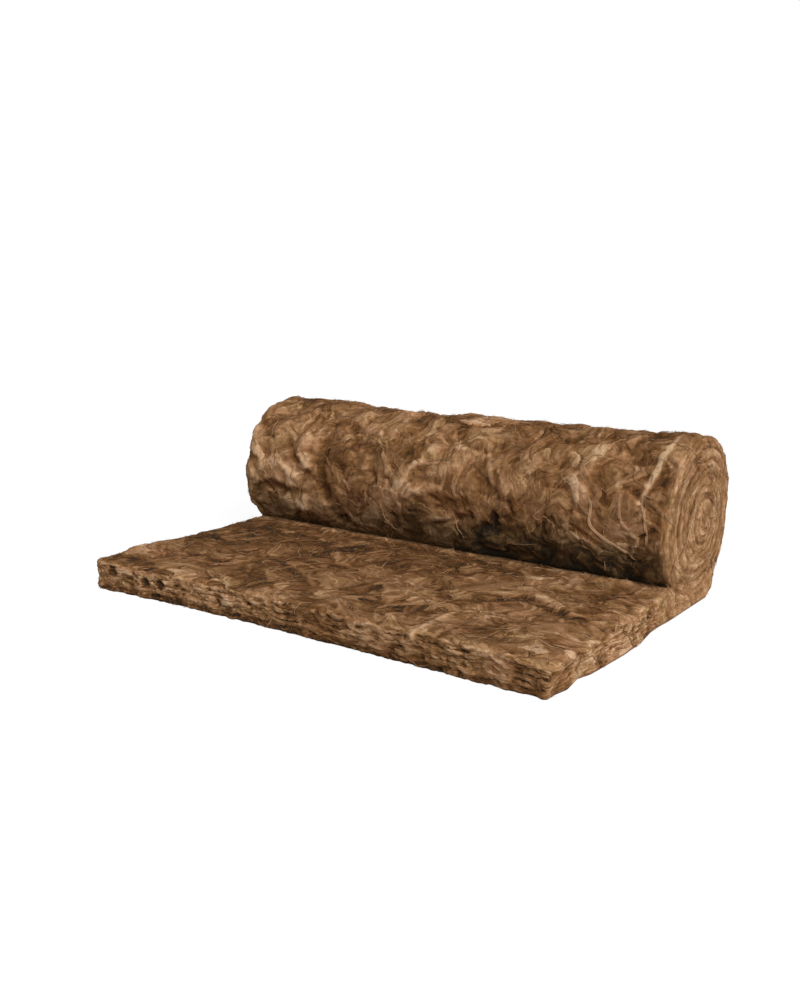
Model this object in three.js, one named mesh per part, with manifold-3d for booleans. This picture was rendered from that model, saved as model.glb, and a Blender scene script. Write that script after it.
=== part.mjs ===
// A mineral wool insulation roll, partly unrolled on the floor.
//
// It is one mat of wool. Its free run lies flat, from a square-cut edge to the roll, at the
// thickness the wool springs back to. At the heel the mat lifts off the floor and winds round
// and round in turns that are still pressed thin, down to a closed eye with no tube in it.
// The roll is slack, so it slumps on its own weight and its eye hangs low and to the back.
//
// Millimetres. In the side view X runs from the cut edge to the back and Y is height, and Z
// runs across the width. The finished roll has +X along its width, +Y from the cut edge to the
// roll and +Z up, with its origin on the floor in the middle of its footprint.

import * as THREE from "three";
import { mergeVertices } from "three/addons/utils/BufferGeometryUtils.js";
import Module from "manifold-3d";

const wasm = await Module();
wasm.setup();

// ---- The mat ----
const MAT_WIDTH = 1200; // from side edge to side edge
const FREE_RUN = 680; // from the cut edge to below the middle of the roll
const LOFT = 70; // thickness where the mat lies free
const PRESSED_LOFT = 36; // thickness of the same layer with the roll on it
const CUT_EDGE_ROUND = 18; // radius of the top corner of the cut edge
const SIDE_EDGE_ROUND = 12; // rounding of both side edges, all along the side view

// ---- The turns ----
const FIRST_TURN_RADIUS = 195; // where the mat starts to wind
const TURN_PITCH = 25; // thickness of a wound turn
const EYE_SHIFT_BACK = 57; // from the middle of the roll to its eye
const EYE_SHIFT_DOWN = 40;
const EYE_RADIUS = 14; // the turns can't be told apart inside it

// ---- The slump of the slack roll ----
const ROLL_WIDENING = 0.05; // share by which the whole roll is wider than it is round
const SLUMP_WIDENING = 0.12; // further share by which its foot spreads
const SLUMP_HEIGHT = 55; // height where the foot is widest
const SLUMP_SPREAD = 60; // height over which the spread dies away

// ---- The heel, where the mat leaves the floor ----
const HEEL_CONTACT = 75; // how far the mat stays on the floor past the middle of the roll
const HEEL_TURNS = 0.2; // where it has reached the round of the first turn, in turns
const HEEL_FULLNESS = 55; // length of the heel's curve handles

// ---- The furrows between the turns, on both ends ----
const FURROW_DEPTH = 14;
const FURROW_MOUTH = 13; // width at the face of the roll's end
const FURROW_THROAT = 6; // width below the rounded shoulders of the two turns
const SHOULDER_DEPTH = 3.5;
const FURROW_LEAD = 0.015; // how far up the crease they start, in turns

// ---- The slow wave and the puffs of the slack roll ----
const GIRTH_WAVE = 5; // how far it swells and draws in
const GIRTH_WAVE_SPACING = 460; // from one swell to the next
const PUFF_HEIGHT = 4; // how far a puff stands out, and how deep the hollows beside it are
const PUFF_SPACING = 150; // from one puff to the next in its row along the roll
const PUFFS_AROUND = 8; // in a full round of the roll
const FIRST_PUFF = 80; // from the left side edge to the middle of the first puff in front
const PUFF_WANDER = 1.2; // how far the rows wander, as a phase in radians

// ---- Fineness of the facets ----
const STEPS_PER_TURN = 40;
const ROUND_STEPS = 3; // on a side edge
const CORNER_STEPS = 6; // on the corner of the cut edge and on the heel
const WAVE_STEP = 30; // along the roll, for its wave and puffs

const TURN_COUNT = FIRST_TURN_RADIUS / TURN_PITCH;

// The second layer rests on the pressed one, which sets the height of the middle of the roll.
const ROLL_HEIGHT =
  PRESSED_LOFT + FIRST_TURN_RADIUS - TURN_PITCH + EYE_SHIFT_DOWN / TURN_COUNT;

// A point on the outer face of the wound mat, counted in turns from below the middle of the roll.
// It is a spiral whose middle drifts towards the eye, widened by the slump.
function turnPoint(turns) {
  const angle = 2 * Math.PI * turns - Math.PI / 2;
  const radius = FIRST_TURN_RADIUS - TURN_PITCH * turns;
  const drift = turns / TURN_COUNT;
  const out = EYE_SHIFT_BACK * drift + radius * Math.cos(angle);
  const height = ROLL_HEIGHT - EYE_SHIFT_DOWN * drift + radius * Math.sin(angle);
  const foot = Math.exp(-(((height - SLUMP_HEIGHT) / SLUMP_SPREAD) ** 2));
  const widening = 1 + ROLL_WIDENING + SLUMP_WIDENING * foot;
  return new THREE.Vector2(FREE_RUN + out * widening, height);
}

// The stretch of the wound mat's outer face between two turn counts, as a curve. It maps its
// length by turns and not by distance, so its steps keep one angle and the small turns stay round.
class TurnLine extends THREE.Curve {
  constructor(from, to, plane = 0) {
    super();
    Object.assign(this, { from, to, plane });
  }

  get steps() {
    return Math.ceil((this.to - this.from) * STEPS_PER_TURN);
  }

  getUtoTmapping(u) {
    return u;
  }

  getPoint(t, target = new THREE.Vector3()) {
    const point = turnPoint(THREE.MathUtils.lerp(this.from, this.to, t));
    return target.set(point.x, point.y, this.plane);
  }
}

// The turn count at which the roll's front comes down to the top of the free run. It lies between
// three quarters of a turn, where the roll is widest in front, and one turn, back on the floor.
function creaseTurns() {
  let [above, below] = [0.75, 1];
  while (below - above > 1e-9) {
    const middle = (above + below) / 2;
    if (turnPoint(middle).y > LOFT) above = middle;
    else below = middle;
  }
  return below;
}

// The side view of the mat: along the floor, up the heel, round the roll to the crease where it
// rests on the free run, and back along the top of that run to the cut edge.
function matProfile(crease) {
  const contactEnd = FREE_RUN + HEEL_CONTACT;
  const roll = new TurnLine(HEEL_TURNS, crease);
  const lift = roll.getPoint(0);
  const rise = roll.getTangent(0).setLength(HEEL_FULLNESS);

  const profile = new THREE.Shape();
  profile.moveTo(0, 0);
  profile.lineTo(contactEnd, 0);
  profile.bezierCurveTo(
    contactEnd + HEEL_FULLNESS, 0,
    lift.x - rise.x, lift.y - rise.y,
    lift.x, lift.y,
  );
  for (const point of roll.getPoints(roll.steps).slice(1)) profile.lineTo(point.x, point.y);
  profile.lineTo(CUT_EDGE_ROUND, LOFT);
  profile.absarc(
    CUT_EDGE_ROUND, LOFT - CUT_EDGE_ROUND, CUT_EDGE_ROUND,
    Math.PI / 2, Math.PI, false,
  );
  profile.closePath();
  return profile;
}

// The mat with plain ends: its side view run across its width, with the side edges rounded.
function plainMat(crease) {
  return new THREE.ExtrudeGeometry(matProfile(crease), {
    depth: MAT_WIDTH - 2 * SIDE_EDGE_ROUND,
    steps: Math.ceil(MAT_WIDTH / WAVE_STEP),
    curveSegments: CORNER_STEPS,
    bevelThickness: SIDE_EDGE_ROUND,
    bevelSize: SIDE_EDGE_ROUND,
    bevelOffset: -SIDE_EDGE_ROUND,
    bevelSegments: ROUND_STEPS,
  }).translate(0, 0, SIDE_EDGE_ROUND - MAT_WIDTH / 2);
}

// What is left out between the turns on one end: a V with rounded shoulders that follows the
// turns from the crease to the eye. The side is 1 or -1. The cutter carries the slope of the
// shoulders on, out through the face of the end, so it is FURROW_MOUTH wide at the face itself.
function furrow(crease, side) {
  const outerHalf = FURROW_MOUTH - FURROW_THROAT / 2;
  const section = new THREE.Shape([
    new THREE.Vector2(side * FURROW_DEPTH, 0),
    new THREE.Vector2(side * SHOULDER_DEPTH, FURROW_THROAT / 2),
    new THREE.Vector2(-side * SHOULDER_DEPTH, outerHalf),
    new THREE.Vector2(-side * SHOULDER_DEPTH, -outerHalf),
    new THREE.Vector2(side * SHOULDER_DEPTH, -FURROW_THROAT / 2),
  ]);
  const lastTurn = (FIRST_TURN_RADIUS - EYE_RADIUS) / TURN_PITCH;
  const line = new TurnLine(crease - FURROW_LEAD, lastTurn, (side * MAT_WIDTH) / 2);
  return new THREE.ExtrudeGeometry(section, { steps: line.steps, extrudePath: line });
}

// How far the roll swells at a place, as a share of its distance from the middle of the roll. The
// slow wave winds round the roll like the mat. The puffs are soft swellings, set like the squares
// of a chequerboard, whose rows wander. They die away in the inner turns.
function swellAt(out, up, across) {
  const angle = Math.atan2(up, out);
  const wave = (2 * Math.PI * across) / GIRTH_WAVE_SPACING;
  const row = (2 * Math.PI * (across + MAT_WIDTH / 2 - FIRST_PUFF)) / PUFF_SPACING;
  const puff =
    Math.cos(row + PUFF_WANDER * Math.sin(2 * angle)) *
    Math.cos(PUFFS_AROUND * angle + PUFF_WANDER * Math.sin(wave));
  const outward = Math.hypot(out, up) / FIRST_TURN_RADIUS;
  return (GIRTH_WAVE * Math.sin(wave + angle) + PUFF_HEIGHT * outward * puff) / FIRST_TURN_RADIUS;
}

// Bends a geometry by the swells of the roll. They grow from nothing at the height of the free run,
// so that run, the underside and all edges stay straight. Mat and furrows take the same swells, so
// what met before still meets.
function swollen(geometry) {
  const points = geometry.attributes.position;
  const at = new THREE.Vector3();
  for (let i = 0; i < points.count; i++) {
    at.fromBufferAttribute(points, i);
    const out = at.x - FREE_RUN;
    const up = at.y - ROLL_HEIGHT;
    const swell = swellAt(out, up, at.z) * THREE.MathUtils.smoothstep(at.y, LOFT, ROLL_HEIGHT);
    points.setXY(i, at.x + out * swell, at.y + up * swell);
  }
  return geometry;
}

// A closed three.js geometry as a solid that can be cut.
function solidOf(geometry) {
  const bare = geometry.clone();
  bare.deleteAttribute("normal");
  bare.deleteAttribute("uv");
  const merged = mergeVertices(bare, 1e-4);
  return new wasm.Manifold(
    new wasm.Mesh({
      numProp: 3,
      vertProperties: merged.attributes.position.array,
      triVerts: new Uint32Array(merged.index.array),
    }),
  );
}

function geometryOf(solid) {
  const { vertProperties, triVerts } = solid.getMesh();
  const geometry = new THREE.BufferGeometry();
  geometry.setAttribute("position", new THREE.BufferAttribute(vertProperties, 3));
  geometry.setIndex(new THREE.BufferAttribute(triVerts, 1));
  geometry.computeVertexNormals();
  return geometry;
}

const crease = creaseTurns();
const matSolid = solidOf(swollen(plainMat(crease)))
  .subtract(solidOf(swollen(furrow(crease, 1))))
  .subtract(solidOf(swollen(furrow(crease, -1))));

const wool = new THREE.MeshStandardMaterial({ color: 0x7f5f43, roughness: 1, metalness: 0 });

const mat = new THREE.Mesh(geometryOf(matSolid), wool);
mat.name = "wool_mat";
mat.rotation.set(Math.PI / 2, Math.PI / 2, 0); // X of the side view to +Y, height to +Z

const footprint = new THREE.Box3().setFromObject(mat);
mat.position.y = -(footprint.min.y + footprint.max.y) / 2; // the origin is in its middle

const insulationRoll = new THREE.Group();
insulationRoll.name = "insulation_roll";
insulationRoll.add(mat);

export default insulationRoll;
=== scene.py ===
# %% [markdown]
# # A roll of mineral wool insulation, partly unrolled
#
# The real thing is one thick mat of brown mineral wool. It was wound up tight, and here it is
# partly unrolled: a free run lies flat on the floor, and the rest is still a slack roll.
# The packed model holds its true shape and size as one plain solid. This lesson gives that
# solid the look of wool: puffy tufts, folds, torn edges, wound turns and loose fibres.

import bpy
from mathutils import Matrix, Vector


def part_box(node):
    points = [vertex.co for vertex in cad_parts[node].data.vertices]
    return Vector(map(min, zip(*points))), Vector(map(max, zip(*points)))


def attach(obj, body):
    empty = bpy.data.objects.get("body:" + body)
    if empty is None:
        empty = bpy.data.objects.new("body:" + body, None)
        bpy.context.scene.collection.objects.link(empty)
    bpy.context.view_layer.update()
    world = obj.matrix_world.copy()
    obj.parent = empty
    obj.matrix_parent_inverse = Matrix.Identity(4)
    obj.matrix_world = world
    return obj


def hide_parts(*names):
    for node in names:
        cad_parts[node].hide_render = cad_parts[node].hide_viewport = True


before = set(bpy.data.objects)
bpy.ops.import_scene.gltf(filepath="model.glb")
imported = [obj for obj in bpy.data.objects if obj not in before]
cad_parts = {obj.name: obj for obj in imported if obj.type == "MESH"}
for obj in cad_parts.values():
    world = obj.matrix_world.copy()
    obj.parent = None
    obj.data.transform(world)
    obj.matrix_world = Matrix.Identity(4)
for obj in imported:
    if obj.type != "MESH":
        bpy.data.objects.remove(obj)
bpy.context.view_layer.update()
cad_low, cad_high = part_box("wool_mat")
print("The packed model is one node,", *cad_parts)
print("The packed roll measures", [round(side, 3) for side in cad_high - cad_low], "m")

# %% Tools
import math

import bmesh
import bpy
import numpy as np
from mathutils import Vector
from mathutils.geometry import delaunay_2d_cdt

SIDES = (1, -1)  # right and left, as signs across the width

# %% [markdown]
# ## The camera first
#
# A camera that stands where a customer would makes every later step easy to judge. It looks
# slightly down on the corner where the cut edge meets the right side, through a lens that is
# a little longer than normal, so that the far end of the roll comes out smaller.

# %% Camera
LENS = 39.2  # millimetres, on a sensor whose long side is 36
CAMERA_PLACE = Vector((1.455, -2.063, 0.759))
CAMERA_TURN = math.radians(35.95)  # to the left of straight on
CAMERA_DIP = math.radians(12.26)  # below level


def add_object(name, data):
    """A new object in the scene, at the origin and unturned."""
    made = bpy.data.objects.new(name, data)
    bpy.context.scene.collection.objects.link(made)
    return made


camera = add_object("camera", bpy.data.cameras.new("camera"))
camera.data.lens = LENS
camera.location = CAMERA_PLACE
camera.rotation_euler = (math.pi / 2 - CAMERA_DIP, 0, CAMERA_TURN)
bpy.context.scene.camera = camera
print("The camera stands at", [round(part, 3) for part in CAMERA_PLACE])

# %% [markdown]
# ## The outer face of the wound mat
#
# Seen from the side, the outer face of the wound mat is a spiral. Its middle drifts down and
# back towards the eye, because a slack roll sags, and its foot spreads on the floor. The
# packed model follows the same rule, so the formula is written here once more, in metres,
# and every later cell takes its points from it. The side view is measured along the floor
# from the cut edge, and up.

# %% Sizes of the mat and its turns
MAT_WIDTH = cad_high.x - cad_low.x
CUT_EDGE_Y = cad_low.y
FREE_RUN = 0.680  # from the cut edge to below the middle of the roll
LOFT = 0.070  # thickness where the mat lies free
PRESSED_LOFT = 0.036  # thickness of the same layer with the roll on it
CUT_EDGE_ROUND = 0.010  # radius of the top corner of the cut edge
CUT_FOOT_ROUND = 0.006  # radius of its bottom corner
SIDE_EDGE_ROUND = 0.012
FIRST_TURN_RADIUS = 0.195
TURN_PITCH = 0.025
EYE_SHIFT_BACK = 0.057
EYE_SHIFT_DOWN = 0.040
ROLL_WIDENING = 0.05  # share by which the roll is wider than it is round
SLUMP_WIDENING = 0.12  # further share by which its foot spreads
SLUMP_HEIGHT = 0.055
SLUMP_SPREAD = 0.060
FRONT_TURNS = (0.75, 1.0)  # from the roll's widest place in front down to the floor
SEARCH_STEPS = 5001

TURN_COUNT = FIRST_TURN_RADIUS / TURN_PITCH
ROLL_HEIGHT = PRESSED_LOFT + FIRST_TURN_RADIUS - TURN_PITCH + EYE_SHIFT_DOWN / TURN_COUNT


def bell(value, middle, reach):
    """A smooth bump: 1 at its middle, and almost nothing at twice its reach."""
    return np.exp(-(((value - middle) / reach) ** 2))


def outer_face(turns):
    """Points (along, up) of the wound mat's outer face, at turn counts from below the middle."""
    turns = np.asarray(turns, float)
    angle = 2 * np.pi * turns - np.pi / 2
    radius = FIRST_TURN_RADIUS - TURN_PITCH * turns
    drift = turns / TURN_COUNT
    out = EYE_SHIFT_BACK * drift + radius * np.cos(angle)
    up = ROLL_HEIGHT - EYE_SHIFT_DOWN * drift + radius * np.sin(angle)
    foot = bell(up, SLUMP_HEIGHT, SLUMP_SPREAD)
    along = FREE_RUN + out * (1 + ROLL_WIDENING + SLUMP_WIDENING * foot)
    return np.stack([along, up], -1)


def find_crease():
    """The turn count where the roll's front comes down on the top of the free run."""
    turns = np.linspace(*FRONT_TURNS, SEARCH_STEPS)
    return float(np.interp(-LOFT, -outer_face(turns)[:, 1], turns))


CREASE_TURNS = find_crease()
CREASE = outer_face(CREASE_TURNS)
print(f"The crease is {CREASE[0]:.3f} m from the cut edge, after {CREASE_TURNS:.3f} turns")

# %% [markdown]
# ## Stations along the mat
#
# A mat that is wound up is still one long ribbon in its side view. So each end is meshed as
# a ribbon, too: stations follow each other along the mat, and each has a few points through
# its thickness. A turn's top points are the bottom points of the next turn, one round
# later, so neighbouring turns are welded and the end is one closed skin.

# %% The heel
HEEL_CONTACT = 0.075  # how far the mat stays on the floor past the middle of the roll
HEEL_TURNS = 0.2  # where it has reached the round of the first turn
HEEL_FULLNESS = 0.055
HEEL_STEPS = 60
TURN_NUDGE = 0.001  # a short way on, to find which way a turn runs


def bezier(points, count):
    """This many points on the curve that four points span."""
    t = np.linspace(0, 1, count)[:, None]
    a, b, c, d = points
    return (1 - t) ** 3 * a + 3 * t * (1 - t) ** 2 * b + 3 * t**2 * (1 - t) * c + t**3 * d


def heel_path():
    """The mat's lower face from below the crease, along the floor and up to the first turn."""
    lift = outer_face(HEEL_TURNS)
    rise = outer_face(HEEL_TURNS + TURN_NUDGE) - lift
    rise *= HEEL_FULLNESS / np.hypot(*rise)
    leaves = np.array([FREE_RUN + HEEL_CONTACT, 0])
    curve = bezier([leaves, leaves + [HEEL_FULLNESS, 0], lift - rise, lift], HEEL_STEPS)
    return np.vstack([[[CREASE[0], 0]], curve])


def walk_along(line):
    """The length of a line of points up to each of its points."""
    return np.concatenate([[0], np.cumsum(np.hypot(*np.diff(line, axis=0).T))])


print(f"From below the crease to the first turn it is {walk_along(heel_path())[-1]:.3f} m")

# %% Stations
RUN_STEP = 0.005  # between two stations on the free run
TURN_STEPS = 220  # stations in each turn
CORNER_STEPS = 5
RUN_LAYERS = 13  # steps through the thickness of the free run
WOUND_LAYERS = 5  # steps through the thickness of a wound turn
LAST_TURN = 7.8  # where the eye closes


def corner_drop(along, radius):
    """How far a rounded corner of the cut edge lies in from the flat face, at its stations."""
    reach = np.clip(radius - along, 0, None)
    return radius - np.sqrt(radius**2 - reach**2)


def at_share(path, share):
    """Points at these shares of a path's length."""
    length = walk_along(path)
    return np.stack([np.interp(share * length[-1], length, path[:, k]) for k in (0, 1)], -1)


corner_angle = np.linspace(0, np.pi / 2, CORNER_STEPS + 1)
run_steps = math.ceil((CREASE[0] - CUT_EDGE_ROUND) / RUN_STEP)
run_along = np.concatenate([
    CUT_EDGE_ROUND * (1 - np.cos(corner_angle)),
    np.linspace(CUT_EDGE_ROUND, CREASE[0], run_steps + 1)[1:-1],
])
run_top = np.stack([run_along, LOFT - corner_drop(run_along, CUT_EDGE_ROUND)], -1)
run_bottom = np.stack([run_along, corner_drop(run_along, CUT_FOOT_ROUND)], -1)

wound_count = math.floor((LAST_TURN - CREASE_TURNS + 1) * TURN_STEPS)
wound_turns = CREASE_TURNS - 1 + np.arange(wound_count) / TURN_STEPS
heel_share = (wound_turns - wound_turns[0]) / (HEEL_TURNS - wound_turns[0])
wound_bottom = np.where(
    wound_turns[:, None] < HEEL_TURNS,
    at_share(heel_path(), heel_share.clip(0, 1)),
    outer_face(wound_turns),
)
EYE = outer_face(TURN_COUNT)
wound_top = np.vstack([wound_bottom[TURN_STEPS:], np.tile(EYE, (TURN_STEPS, 1))])
mat_along = CREASE[0] + walk_along(wound_bottom)
print(len(run_along), "stations on the free run and", wound_count, "on the turns")
print(f"The mat is {mat_along[-1]:.2f} m long")

# %% [markdown]
# ## The side view of an end
#
# An end's rim is rounded, so its points are drawn in from the outline by the rounding. They
# are not drawn in at the crease, where the roll lies on the free run. The outline itself is
# a walk: up the heel and once round the roll to the crease, back along the top of the free
# run, down the cut edge, and along the floor to where it began.

# %% Outline and rim
CREASE_FADE = 0.06  # over which the rounding of the side edges dies away at the crease
FLOOR_TOUCH = 1e-6  # what is lower than this lies on the floor


def inward_of(line):
    """Unit normals on the left of a line of points."""
    ahead = np.gradient(line, axis=0)
    return np.stack([-ahead[:, 1], ahead[:, 0]], -1) / np.hypot(*ahead.T)[:, None]


def drawn_in(line, inward):
    """Outline points moved in by the rounding of the side edges, less near the crease."""
    far = np.hypot(*(line - CREASE).T) / CREASE_FADE
    return line + inward * SIDE_EDGE_ROUND * np.sqrt(far.clip(0, 1))[:, None]


def through(bottom, top, steps):
    """A grid of points from each bottom point to its top point."""
    share = np.linspace(0, 1, steps + 1)[:, None]
    return bottom[:, None] * (1 - share) + top[:, None] * share


def round_trip(turn, run):
    """The walk: a line for the turn, and a grid whose first and last columns are the run's."""
    return np.concatenate([turn, run[::-1, -1], run[0, -2:0:-1], run[:, 0]])


first_turn = wound_bottom[:TURN_STEPS + 1]
outline = round_trip(first_turn, through(run_bottom, run_top, RUN_LAYERS))

from_cut = np.stack([SIDE_EDGE_ROUND * (1 - run_along / CREASE[0]), 0 * run_along], -1)
rim_bottom = drawn_in(run_bottom, np.array([0, 1])) + from_cut
rim_top = drawn_in(run_top, np.array([0, -1])) + from_cut
rim_turn = drawn_in(first_turn, inward_of(first_turn))
run_grid = through(rim_bottom, rim_top, RUN_LAYERS)
wound_grid = through(np.vstack([rim_turn, wound_bottom[TURN_STEPS + 1:]]), wound_top, WOUND_LAYERS)
rim = round_trip(rim_turn, run_grid)
rows = np.append(np.arange(len(outline)), 0)  # once round, and the first row again
walk = walk_along(outline[rows])
CREASE_WALK = walk[TURN_STEPS]  # where the crease is on the walk
on_floor = outline[:, 1] < FLOOR_TOUCH
print("The outline has", len(outline), f"points and is {walk[-1]:.2f} m round")

# %% [markdown]
# ## One skin out of grid patches
#
# The whole mat is one closed skin, put together from grids: two ends, the rounded strips
# along both side edges, and the long wall round the outline. A block that is cut to shape and
# remeshed could serve, too, but its faces would not follow the turns. Each face corner also
# knows its place on the wool, in metres, in two ways: on the outer face (across the width,
# and along the walk), and on a cut face (along the mat, and down through its layers). The
# finish is drawn in those places, so it bends with the mat. A third map lays the skin out
# flat for baking. `Skin` keeps all of this. Where a grid names one point twice, it drops the
# extra corner, and that is how a coarse grid is sewn to a fine one.

# %% The skin
MASKS = ("cut", "roll", "furrow", "held")
MAP_SIDE = 2.6  # metres across the flat map


def vectors(*parts):
    """Grids of numbers put together as a grid of vectors."""
    return np.stack(np.broadcast_arrays(*parts), -1).astype(float)


class Skin:
    """A closed mesh in the making: its points with their masks, and its faces with their places."""

    def __init__(self):
        self.points, self.masks, self.faces, self.corners = [], [], [], []
        self.count = 0

    def add_points(self, points, **masks):
        """Adds a grid of points, with masks from 0 to 1, and returns the grid of their numbers."""
        values = [np.broadcast_to(masks.get(name, 0), points.shape[:-1]) for name in MASKS]
        self.points.append(points.reshape(-1, 3))
        self.masks.append(np.stack(values, -1).reshape(-1, len(MASKS)))
        numbers = self.count + np.arange(points[..., 0].size).reshape(points.shape[:-1])
        self.count += numbers.size
        return numbers

    def add_grid(self, numbers, *places):
        """Adds a face between each two rows and columns of a grid, with its corners' places."""
        places = [np.broadcast_to(place, numbers.shape + np.shape(place)[-1:]) for place in places]
        data = np.concatenate(places, -1)
        here, ahead = slice(None, -1), slice(1, None)
        cells = [(here, here), (ahead, here), (ahead, ahead), (here, ahead)]
        ids = np.stack([numbers[cell] for cell in cells], -1).reshape(-1, 4)
        corners = np.stack([data[cell] for cell in cells], -2).reshape(-1, 4, data.shape[-1])
        self.add_faces(ids, corners)

    def add_faces(self, ids, data):
        """Adds faces from lists of corners, without the corners that repeat the one before."""
        new = ids != np.roll(ids, 1, axis=1)
        for face, corners, kept in zip(ids, data, new):
            if kept.sum() > 2:
                self.faces.append(face[kept].tolist())
                self.corners.append(corners[kept])

    def make_object(self, name):
        mesh = bpy.data.meshes.new(name)
        mesh.from_pydata(np.vstack(self.points), [], self.faces)
        for mask, values in zip(MASKS, np.vstack(self.masks).T):
            layer = mesh.attributes.new(mask, "FLOAT", "POINT")
            layer.data.foreach_set("value", values.astype(np.float32))
        face_place, layer_place, flat_map = np.split(np.vstack(self.corners), [3, 6], axis=1)
        for kind, places in {"face_place": face_place, "layer_place": layer_place}.items():
            layer = mesh.attributes.new(kind, "FLOAT_VECTOR", "CORNER")
            layer.data.foreach_set("vector", places.astype(np.float32).ravel())
        flat = mesh.uv_layers.new(name="OFBake")
        flat.uv.foreach_set("vector", flat_map.astype(np.float32).ravel())
        return add_object(name, mesh)


skin = Skin()
print("Each point has the masks", *MASKS)

# %% Masks on the two ends
MAP_ENDS = {1: 1.30, -1: 1.75}  # where the ends lie on the flat map, in metres
ROUND_ARC = SIDE_EDGE_ROUND * np.pi / 2  # from the wall to the rim, over the rounding
CUT_REACH = 0.035  # over which the outer face gives way to the cut face, from the wall on
CORNER_REACH = 0.02  # at the corner of the cut edge all is cut within this
LAYER_FADE = 0.12  # over which the run's layers turn into the wound ones, up to the crease

wall_edge = MAT_WIDTH / 2 - SIDE_EDGE_ROUND
CUT_LENGTH = 2 * (wall_edge + ROUND_ARC)  # of the cut edge, over the rounding at both ends
run_walk = walk[TURN_STEPS + len(run_along):TURN_STEPS:-1]  # at the top of each run station
wound_walk = np.pad(walk[:TURN_STEPS + 1], (0, wound_count - TURN_STEPS - 1), "edge")


def cut_mask(inward):
    """How much of the cut face shows at a distance in from the rim."""
    return np.clip((ROUND_ARC + inward) / CUT_REACH, 0, 1)


run_inward = np.linspace(LOFT, 0, RUN_LAYERS + 1)
wound_inward = np.linspace(0, TURN_PITCH, WOUND_LAYERS + 1)
run_corner = 1 - np.minimum(run_along, CREASE[0] - run_along) / CORNER_REACH
run_cut = np.maximum(cut_mask(run_inward), run_corner[:, None])
run_roll = np.interp(run_along, CREASE[0] - [LAYER_FADE, 0], [0, 1])
wound_cut = np.ones((wound_count - 1, WOUND_LAYERS))
wound_cut[:TURN_STEPS] = np.maximum(cut_mask(wound_inward[:-1]), on_floor[:TURN_STEPS, None])
print("The cut edge is", round(CUT_LENGTH, 3), "m long, over its rounded ends")

# %% The two ends
def add_ribbon(side, numbers, stations, walks, inward, spots):
    """Adds a stretch of an end: stations along the mat, with points through its thickness."""
    across = side * (wall_edge + ROUND_ARC + inward)
    layer_x = stations if side > 0 else -CUT_LENGTH - stations
    depth = np.linspace(LOFT, 0, numbers.shape[1])
    flat_map = vectors(MAP_ENDS[side] + spots[..., 1], spots[..., 0]) / MAP_SIDE
    skin.add_grid(
        numbers,
        vectors(across, walks[:, None], 0),
        vectors(layer_x[:, None], depth, side),
        flat_map,
    )


def add_end(side):
    """Adds one end and returns the numbers of its rim points, in the order of the walk."""
    face_x = side * MAT_WIDTH / 2
    spots = vectors(face_x, run_grid[..., 0], run_grid[..., 1])
    run = skin.add_points(spots, cut=run_cut, roll=run_roll[:, None])
    furrow = np.zeros((wound_count - 1, WOUND_LAYERS))
    furrow[TURN_STEPS:, 0] = 1
    turns = vectors(face_x, wound_grid[:-1, :-1, 0], wound_grid[:-1, :-1, 1])
    wound = skin.add_points(turns, cut=wound_cut, roll=1, furrow=furrow)
    eye = skin.add_points(vectors(face_x, *EYE), cut=1, roll=1, furrow=1)
    wound = np.vstack([wound, np.full(WOUND_LAYERS, eye)])
    next_turn = np.concatenate([wound[TURN_STEPS:, 0], np.full(TURN_STEPS, eye)])
    wound = np.column_stack([wound, next_turn])

    seam = np.round(np.linspace(0, WOUND_LAYERS, RUN_LAYERS + 1)).astype(int)
    add_ribbon(
        side,
        np.vstack([run, wound[:1, seam]]),
        np.append(run_along, mat_along[0]),
        np.append(run_walk, CREASE_WALK),
        run_inward,
        np.concatenate([run_grid, wound_grid[:1, seam]]),
    )
    add_ribbon(side, wound, mat_along, wound_walk, wound_inward, wound_grid)
    return round_trip(wound[:TURN_STEPS + 1, 0], run)


rim_numbers = {side: add_end(side) for side in SIDES}
print(len(skin.faces), "faces on the two ends")

# %% [markdown]
# ## The wall and the underside
#
# The wall is the outline's walk, repeated across the width, and its two edge strips curve
# over into the ends. Nothing shows below the mat, so the underside is filled with a few
# large flat triangles between the points that are already there. Masks say what each point
# belongs to: a cut face or an outer face, the roll or the free run. Points on the floor and
# in the crease are held where they are.

# %% Masks on the wall
CREASE_HELD = 0.02  # the hold on the wool at the crease lets go over this
HELD_LEAD = 1.5  # so many times as far from the crease the hold has gone
ROLL_FADE = 0.05  # over which the roll's relief gives way to the free run's

edge_row = TURN_STEPS + len(run_top)  # where the top of the free run meets the cut edge
EDGE_WALK = walk[edge_row]
turn_floor, run_floor = np.flatnonzero(np.diff(on_floor)) + [0, 1]

row_roll = np.interp(walk[:-1], CREASE_WALK + [0, ROLL_FADE], [1, 0])
row_held = np.clip(HELD_LEAD - np.abs(walk[:-1] - CREASE_WALK) / CREASE_HELD, 0, 1)
row_held[on_floor] = 1
cut_stops = [edge_row - CORNER_STEPS, edge_row, run_floor - 1, run_floor]
row_cut = np.interp(rows[:-1], cut_stops, [0, 1, 1, 0])
row_along = round_trip(mat_along[:TURN_STEPS + 1], np.tile(run_along[:, None], RUN_LAYERS + 1))
row_depth = np.where(rows[:-1] < TURN_STEPS, LOFT, LOFT - outline[:, 1])

print(f"The crease is {CREASE_WALK:.3f} m along the walk, and the cut edge {EDGE_WALK:.3f} m")

# %% The wall
WIDTH_STEPS = 230
ROUND_STEPS = 3
MAP_EDGE = 0.62  # from the edge of the flat map to the middle of the mat

edge_angle = np.linspace(0, np.pi / 2, ROUND_STEPS + 1)  # from the face of an end to the wall


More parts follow.
